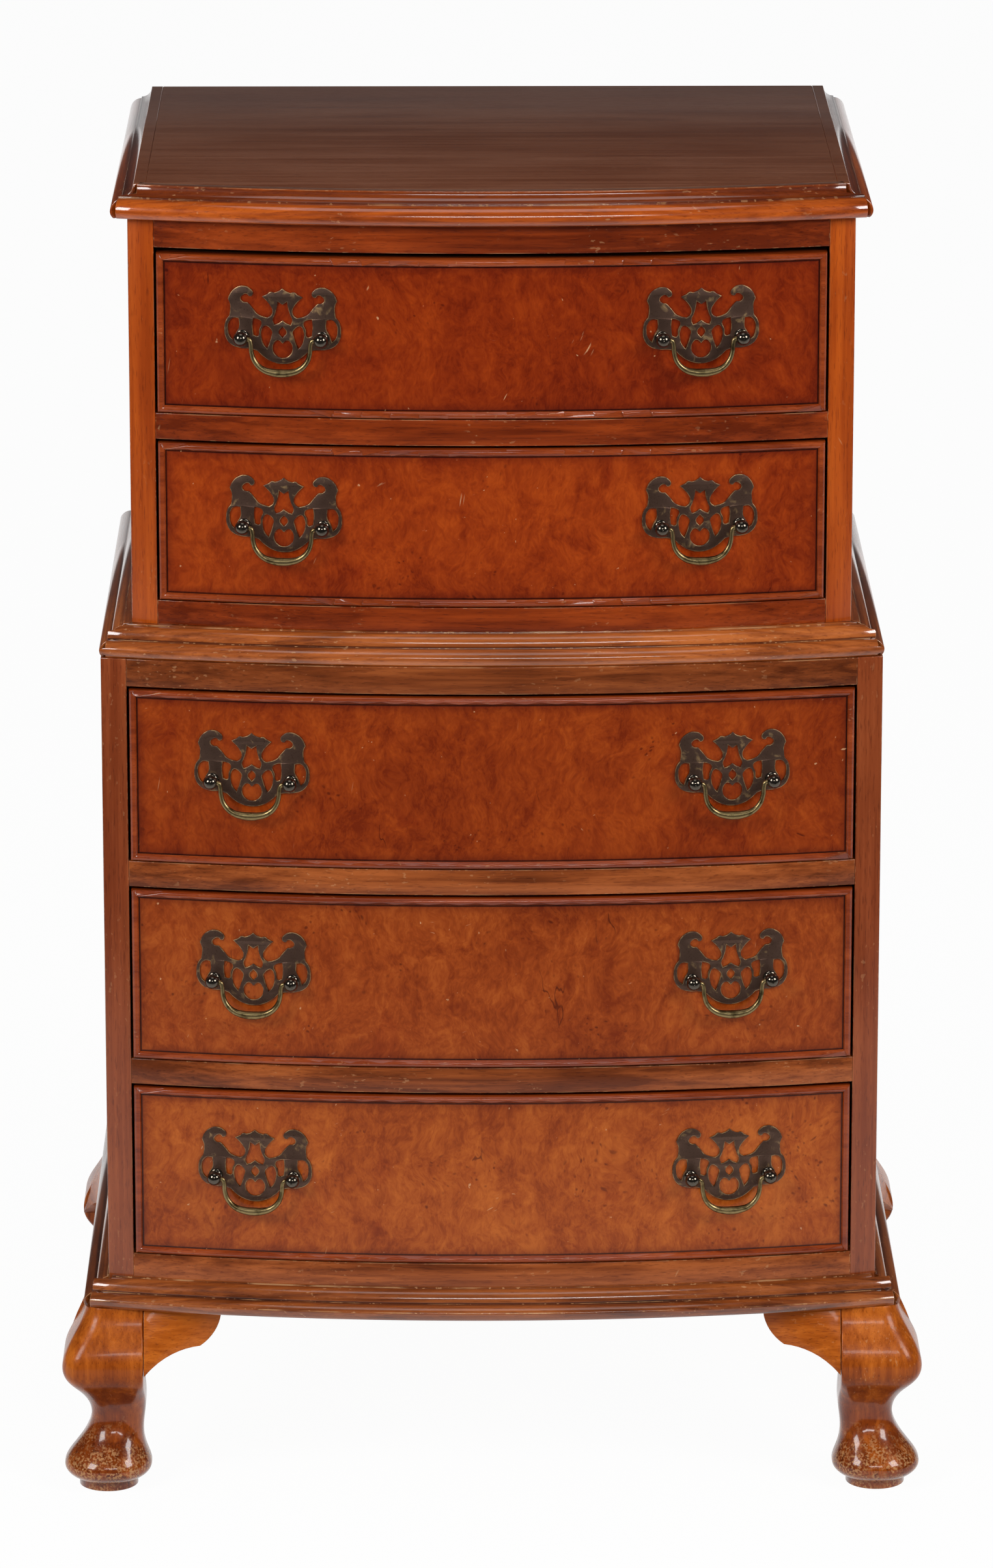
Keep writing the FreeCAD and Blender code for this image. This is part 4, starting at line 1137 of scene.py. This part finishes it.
@dataclass
class Drawers:
    """Five drawers with their veneered fronts, cock beads, linings and handles."""

    bench: Bench
    bead_easing: Softening = field(default_factory=lambda: Softening(0.25 * MM, 1))
    bead_width: float = 4.6 * MM
    seed_step: float = 1.7
    across_over: float = 0.7
    bead: Walnut = Walnut(
        "bead_walnut", (0.225, 0.034, 0.0050), 0.30, rub=0.45, polish=0.7, relief=0.02, band_scale=60.0
    )
    lining: BareWood = BareWood("lining_oak", (0.300, 0.165, 0.070), (0.520, 0.330, 0.165))
    post: Patina = Patina(
        "post_patina", (0.105, 0.088, 0.070), (0.190, 0.145, 0.080), 0.15, 0.12, 0.95, relief=0.01
    )
    tones: tuple[tuple[Colour, float], ...] = (
        ((0.205, 0.0200, 0.0008), 0.03),
        ((0.246, 0.0280, 0.0013), 0.06),
        ((0.230, 0.0295, 0.0016), 0.07),
        ((0.270, 0.0450, 0.0042), 0.09),
        ((0.318, 0.0600, 0.0055), 0.09),
    )

    def build(self) -> None:
        """Dress every drawer, counted from the top."""
        bench = self.bench
        beads = all_ways(self.bead)
        linings = all_ways(self.lining)
        post = self.post.build()
        for number, (tone, eyes) in enumerate(self.tones, 1):
            name = f"drawer_{number}"
            low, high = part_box(f"{name}_cock_bead")
            bow = bow_of(number)
            veneer = Burr(
                f"burr_veneer_{number}",
                tone,
                eyes,
                centre_height=(low.z + high.z) / 2,
                half_width=high.x - self.bead_width,
                half_height=(high.z - low.z) / 2 - self.bead_width,
                bow=bow,
                bow_centre=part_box(f"{name}_front")[0].y + bow,
                seed=self.seed_step * number,
            )
            bench.refinish(f"{name}_front", veneer.build())
            bench.timber(bench.softened(f"{name}_cock_bead", self.bead_easing), beads)
            self.line_box(bench.softened(f"{name}_box", self.bead_easing), linings)
            bench.refinish(f"{name}_bottom", linings[Grain.ALONG_X])
            bench.refinish(f"{name}_handle_posts", post)

    def line_box(self, box: bpy.types.Object, linings: dict[Grain, bpy.types.Material]) -> None:
        """Run the grain along the sides of a drawer, and across its back.

        Args:
            box: the sides and back of the drawer.
            linings: their finish for each direction of grain.
        """
        self.bench.finish(box, linings[Grain.ALONG_Y])
        box.data.materials.append(linings[Grain.ALONG_X])
        for face in box.data.polygons:
            face.material_index = int(abs(face.normal.y) > self.across_over)


@dataclass
class Handles:
    """Pierced plates and swelling bails, drawn flat about the bail's pivot and set on the bow.

    Outlines are in millimetres, across and up, for the right half. True marks a sharp corner. The bail's
    line gives its radius as well.
    """

    bench: Bench
    drawers: int = 5
    pivot_reach: float = 9.4 * MM
    thickness: float = 1.3 * MM
    rounding: float = 0.42 * MM
    weld: float = 0.002 * MM
    wall_under: float = 0.1
    flat_over: float = 0.98
    plate: Patina = Patina("plate_patina", (0.104, 0.058, 0.041), (0.420, 0.270, 0.125), 0.28, 0.40, 0.8)
    bail: Patina = Patina("bail_brass", (0.120, 0.085, 0.036), (0.290, 0.215, 0.100), 0.85, 0.34)
    edge: Outline = (
        (0.0, 31.3, True), (2.4, 29.5, False), (5.4, 28.5, True), (7.6, 28.9, False), (9.6, 27.4, True),
        (13.0, 25.8, True), (10.2, 23.2, False), (7.8, 20.2, False), (6.4, 17.0, False),
        (7.2, 14.0, False), (9.4, 12.4, True), (12.9, 13.2, False), (16.2, 14.8, False),
        (18.4, 17.4, True), (20.0, 19.4, False), (22.4, 21.9, True), (25.2, 22.3, False),
        (26.6, 24.3, False), (25.2, 26.5, False), (22.8, 27.3, False), (20.8, 25.7, False),
        (18.7, 27.4, False), (20.6, 30.8, False), (24.8, 32.4, False), (29.4, 31.2, False),
        (33.0, 27.8, False), (34.8, 23.8, True), (33.5, 20.4, False), (33.4, 17.0, False),
        (33.9, 13.2, True), (36.2, 9.9, False), (37.2, 4.6, False), (36.5, -0.8, False),
        (33.2, -5.4, False), (27.2, -7.6, False), (20.6, -7.9, False), (16.2, -9.2, True),
        (13.0, -12.2, False), (7.4, -15.7, False), (0.0, -17.2, False),
    )
    centre_openings: tuple[Outline, ...] = (
        (
            (0.0, 20.8, True), (3.0, 22.8, True), (3.6, 18.8, False), (4.9, 14.4, False),
            (6.2, 11.0, False), (5.2, 7.9, True), (2.6, 8.9, False), (0.0, 10.7, True),
        ),
        ((0.0, 6.8, True), (2.5, 3.2, False), (0.0, -0.4, True)),
        (
            (0.0, -4.2, True), (2.9, -2.0, False), (5.1, -3.4, False), (6.3, -7.4, False),
            (4.4, -11.6, False), (0.0, -13.4, False),
        ),
    )
    side_openings: tuple[Outline, ...] = (
        (
            (28.0, 11.4, True), (31.4, 11.7, False), (34.3, 8.7, False), (34.9, 4.2, False),
            (33.6, -0.6, False), (31.4, -2.6, True), (29.9, 1.8, False), (27.9, 5.6, False),
        ),
        (
            (13.5, 9.4, False), (16.2, 11.4, False), (18.7, 11.8, True), (19.2, 7.4, False),
            (18.6, 1.0, True), (15.7, 0.4, False), (14.9, 4.6, False),
        ),
        (
            (8.6, 6.2, True), (11.2, 7.2, False), (13.4, 4.0, False), (13.5, -0.6, False),
            (12.2, -4.8, False), (9.9, -7.6, True), (8.4, -3.8, False), (7.1, 0.6, False),
            (6.6, 3.4, False),
        ),
    )
    bail_line: tuple[Triple, ...] = (
        (27.0, 0.0, 1.5), (22.2, 0.0, 1.5), (20.0, -0.6, 1.5), (19.1, -2.8, 1.45), (18.6, -8.4, 1.45),
        (16.5, -14.4, 1.6), (11.6, -19.2, 1.9), (5.4, -21.2, 2.5), (0.0, -21.6, 2.85),
    )

    def build(self) -> None:
        """Model one plate and one bail, and set copies of them on every drawer."""
        plate, bail = self.model_plate(), self.model_bail()
        worn_plate, worn_bail = self.plate.build(), self.bail.build()
        joints = {row["name"]: row for row in frame["record"]["behaviour"]["joints"]}
        for number in range(1, self.drawers + 1):
            bow = bow_of(number)
            plates = []
            for hand in HANDS:
                joint = joints[f"drawer_{number}_{hand}_bail_swing"]
                along = -Vector(joint["axis"])
                turn = Matrix.Rotation(math.atan2(along.y, along.x), 4, "Z")
                seat = Matrix.Translation(joint["pos_m"]) @ turn
                grip = self.copied(bail, f"drawer_{number}_{hand}_grip", seat)
                self.bench.stand_for(grip, f"drawer_{number}_{hand}_bail", worn_bail)
                plates.append(self.copied(self.bent(plate, bow), f"drawer_{number}_{hand}_fret", seat))
            Bench.take(plates[0])
            plates[1].select_set(True)
            bpy.ops.object.join()
            plates[0].name = f"drawer_{number}_frets"
            self.bench.stand_for(plates[0], f"drawer_{number}_handle_plates", worn_plate)
        for pattern in (plate, bail):
            bpy.data.objects.remove(pattern)

    @staticmethod
    def copied(pattern: bpy.types.Object, name: str, seat: Matrix) -> bpy.types.Object:
        """A copy of a pattern with its own mesh.

        Args:
            pattern: the piece that is copied.
            name: the copy's name.
            seat: its place and turn.

        Returns:
            The copy, set in its place.
        """
        mesh = pattern.data.copy()
        mesh.transform(seat)
        return placed(name, mesh)

    @staticmethod
    def bent(plate: bpy.types.Object, bow: float) -> bpy.types.Object:
        """The flat plate laid round a bow.

        Args:
            plate: the flat pattern, which is bent again for each bow.
            bow: radius of the drawer front.

        Returns:
            The pattern.
        """
        for vertex, depth in zip(plate.data.vertices, plate["depths"]):
            vertex.co.y = depth + bow - math.sqrt(bow * bow - vertex.co.x * vertex.co.x)
        return plate

    @staticmethod
    def mirrored(loop: Outline) -> Outline:
        """The same loop on the left."""
        return tuple((-x, z, sharp) for x, z, sharp in loop)

    @staticmethod
    def whole(half: Outline) -> Outline:
        """A loop that starts and ends on the middle line, with its mirror image."""
        return (*half, *reversed(Handles.mirrored(half[1:-1])))

    def model_plate(self) -> bpy.types.Object:
        """Cut the plate from a flat sheet with rounded edges.

        Returns:
            The plate, which keeps the depth of its points for each bend.
        """
        loops = [self.whole(self.edge), *map(self.whole, self.centre_openings)]
        for loop in self.side_openings:
            loops += [loop, self.mirrored(loop)]
        curve = bpy.data.curves.new("fret_pattern", "CURVE")
        curve.dimensions = "2D"
        curve.fill_mode = "BOTH"
        curve.extrude = self.thickness / 2 - self.rounding
        curve.bevel_depth = self.rounding
        curve.offset = -self.rounding
        curve.bevel_resolution = 1
        curve.resolution_u = 5
        for loop in loops:
            spline = curve.splines.new("BEZIER")
            spline.use_cyclic_u = True
            spline.bezier_points.add(len(loop) - 1)
            for point, (x, z, sharp) in zip(spline.bezier_points, loop):
                point.co = (x * MM, z * MM, 0.0)
                point.handle_left_type = point.handle_right_type = "VECTOR" if sharp else "AUTO"
        plate = self.meshed(curve, (math.pi / 2, 0.0, 0.0))
        plate.data.transform(Matrix.Translation((0.0, self.pivot_reach - self.thickness / 2, 0.0)))
        plate["depths"] = [vertex.co.y for vertex in plate.data.vertices]
        leans = (abs(face.normal.y) for face in plate.data.polygons)
        rounded = [float(self.wall_under < lean < self.flat_over) for lean in leans]
        plate.data.attributes.new(ARRIS, "FLOAT", "FACE").data.foreach_set("value", rounded)
        return plate

    def model_bail(self) -> bpy.types.Object:
        """Bend the bail from one rod that swells at the grip.

        Returns:
            The bail, about its pivot.
        """
        line = [*((-x, z, radius) for x, z, radius in self.bail_line), *reversed(self.bail_line[:-1])]
        curve = bpy.data.curves.new("grip_pattern", "CURVE")
        curve.dimensions = "3D"
        curve.bevel_depth = MM
        curve.bevel_resolution = 6
        curve.resolution_u = 8
        curve.use_fill_caps = True
        spline = curve.splines.new("BEZIER")
        spline.radius_interpolation = "BSPLINE"
        spline.bezier_points.add(len(line) - 1)
        for point, (x, z, radius) in zip(spline.bezier_points, line):
            point.co = (x * MM, 0.0, z * MM)
            point.radius = radius
            point.handle_left_type = point.handle_right_type = "AUTO"
        return self.meshed(curve, (0.0, 0.0, 0.0))

    def meshed(self, curve: bpy.types.Curve, turn: Triple) -> bpy.types.Object:
        """A curve made into a closed mesh.

        Args:
            curve: the drawn lines.
            turn: how the result is turned, about each axis.

        Returns:
            The mesh at the origin, with smooth shading.
        """
        Bench.take(placed(curve.name, curve))
        bpy.ops.object.convert(target="MESH")
        pattern = bpy.context.object
        pattern.rotation_euler = turn
        bpy.ops.object.transform_apply(location=True, rotation=True, scale=True)
        bpy.ops.object.mode_set(mode="EDIT")
        bpy.ops.mesh.select_all(action="SELECT")
        bpy.ops.mesh.remove_doubles(threshold=self.weld)
        bpy.ops.mesh.normals_make_consistent(inside=False)
        bpy.ops.object.mode_set(mode="OBJECT")
        bpy.ops.object.shade_smooth_by_angle(angle=SMOOTH_UNDER)
        return pattern


# Studio

@dataclass
class Lamp:
    """A softbox that faces the chest, with its angles in degrees, its sizes in metres and its watts."""

    name: str
    azimuth: float
    elevation: float
    distance: float
    width: float
    height: float
    power: float


@dataclass
class Studio:
    """Camera, floor, lamps and backdrop."""

    eye: Triple = (-0.0375, -4.9984, 1.7937)
    pitch: float = math.radians(15.263)
    yaw: float = math.radians(0.479)
    focal_pixels: float = 12000.0
    picture_height: float = 2408.0
    sensor: float = 36.0
    clip_end: float = 100.0
    aim: Triple = (0.0, 0.0, 0.45)
    floor_half_width: float = 4.0
    floor_front: float = -4.0
    floor_back: float = 7.0
    floor_glow: float = 0.965
    gloss_near: float = -0.25
    gloss_far: float = -1.6
    floor_white: float = 0.86
    floor_roughness: float = 0.9
    room_level: float = 0.18
    room_gloss: float = 0.05
    backdrop_top: float = -0.02
    backdrop_fade: float = 0.08
    backdrop_side: float = 0.25
    lamps: tuple[Lamp, ...] = (
        Lamp("left_softbox", -46.0, 28.0, 3.0, 1.0, 1.0, 44.0),
        Lamp("right_softbox", 52.0, 28.0, 3.0, 1.0, 1.0, 44.0),
        Lamp("front_strip", 3.5, 26.0, 4.6, 1.5, 0.3, 24.0),
        Lamp("overhead_softbox", 0.0, 80.0, 2.6, 1.2, 1.2, 7.0),
    )

    def build(self) -> None:
        """Set up everything that isn't part of the chest."""
        bpy.context.scene.view_settings.view_transform = "Standard"
        self.place_camera()
        self.lay_floor()
        for lamp in self.lamps:
            self.hang(lamp)
        self.light_world()

    def place_camera(self) -> None:
        """Stand the camera where the photograph was taken from."""
        data = bpy.data.cameras.new("camera")
        data.sensor_width = self.sensor
        data.lens = self.focal_pixels / self.picture_height * self.sensor
        data.clip_end = self.clip_end
        camera = placed("camera", data)
        camera.location = self.eye
        camera.rotation_euler = Euler((math.pi / 2 - self.pitch, 0.0, -self.yaw))
        bpy.context.scene.camera = camera

    def lay_floor(self) -> None:
        """Lay a pale sheet under the chest, white to the eye but for the chest's shadow.

        In gloss it darkens towards the front, as under a black card beside the camera.
        """
        Bench.clear()
        bpy.ops.mesh.primitive_plane_add(size=2.0)
        floor = bpy.context.object
        floor.name = "floor"
        half_length = (self.floor_back - self.floor_front) / 2
        floor.scale = (self.floor_half_width, half_length, 1.0)
        floor.location = (0.0, (self.floor_back + self.floor_front) / 2, 0.0)
        bpy.ops.object.transform_apply(location=True, rotation=True, scale=True)
        graph = Graph("floor_paper")
        ray, mirrored = self.rays(graph)
        along = graph.parts(graph.spot())[1]
        dark = mirrored * along.rise(self.gloss_near, self.gloss_far)
        white = graph.mix((1.0,) * 3, (self.room_gloss,) * 3, dark)
        paper = graph.show(
            {"Base Color": opaque((self.floor_white,) * 3), "Roughness": self.floor_roughness}
        )
        glow = graph.add("ShaderNodeEmission", {}, {"Color": white, "Strength": 1.0})
        sheet = Sock(graph, graph.surface.outputs[0])
        share = ray.greater(mirrored) * self.floor_glow
        mixed = graph.add("ShaderNodeMixShader", {}, {0: share, 1: sheet, 2: glow})
        graph.tree.links.new(mixed.socket, graph.tree.nodes["Material Output"].inputs["Surface"])
        floor.data.materials.append(paper)

    @staticmethod
    def rays(graph: Graph) -> tuple[Sock, Sock]:
        """Tell rays apart.

        Args:
            graph: the nodes of the floor or the world.

        Returns:
            1 for rays from the camera, and 1 for rays off gloss or through glass.
        """
        ray = graph.add("ShaderNodeLightPath", {}, {}, "Is Camera Ray")
        outputs = ray.socket.node.outputs
        glossy, through = (Sock(graph, outputs[f"Is {kind} Ray"]) for kind in ("Glossy", "Transmission"))
        return ray, glossy.greater(through)

    def hang(self, lamp: Lamp) -> None:
        """Hang one softbox.

        Args:
            lamp: where it hangs, its size and its power.
        """
        data = bpy.data.lights.new(lamp.name, "AREA")
        data.shape = "RECTANGLE"
        data.size = lamp.width
        data.size_y = lamp.height
        data.energy = lamp.power
        turn, lift = math.radians(lamp.azimuth), math.radians(lamp.elevation)
        away = Vector((math.sin(turn) * math.cos(lift), -math.cos(turn) * math.cos(lift), math.sin(lift)))
        light = placed(lamp.name, data)
        light.location = Vector(self.aim) + away * lamp.distance
        light.rotation_euler = (-away).to_track_quat("-Z", "Y").to_euler()

    def light_world(self) -> None:
        """White to the eye and low behind in gloss, with a dim room everywhere else."""
        world = bpy.data.worlds.new("studio")
        bpy.context.scene.world = world
        world.use_nodes = True
        graph = Graph.of_world(world)
        ray, mirrored = self.rays(graph)
        way = graph.add("ShaderNodeTexCoord", {}, {}, "Generated")
        _, back, up = graph.parts(way)
        low = up.rise(self.backdrop_top + self.backdrop_fade, self.backdrop_top)
        backdrop = back.rise(0.0, self.backdrop_side) * low
        white = ray.greater(mirrored * backdrop)
        level = graph.mix((self.room_level,) * 3, (self.room_gloss,) * 3, mirrored)
        dim = graph.add("ShaderNodeBackground", {}, {"Color": level})
        glow = graph.add("ShaderNodeBackground", {}, {"Color": opaque((1.0, 1.0, 1.0))})
        mixed = graph.add("ShaderNodeMixShader", {}, {0: white, 1: dim, 2: glow})
        graph.tree.links.new(mixed.socket, graph.tree.nodes["World Output"].inputs["Surface"])


def main() -> None:
    """Build the chest's looks, then the studio."""
    logging.basicConfig(level=logging.INFO, format="%(name)s: %(message)s")
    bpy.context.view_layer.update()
    bench = Bench()
    for assembly in (Carcase(bench), Legs(bench), Drawers(bench), Handles(bench), Studio()):
        assembly.build()
        LOG.info("%s done", type(assembly).__name__)
    bench.clear()


if __name__ == "__main__":
    main()
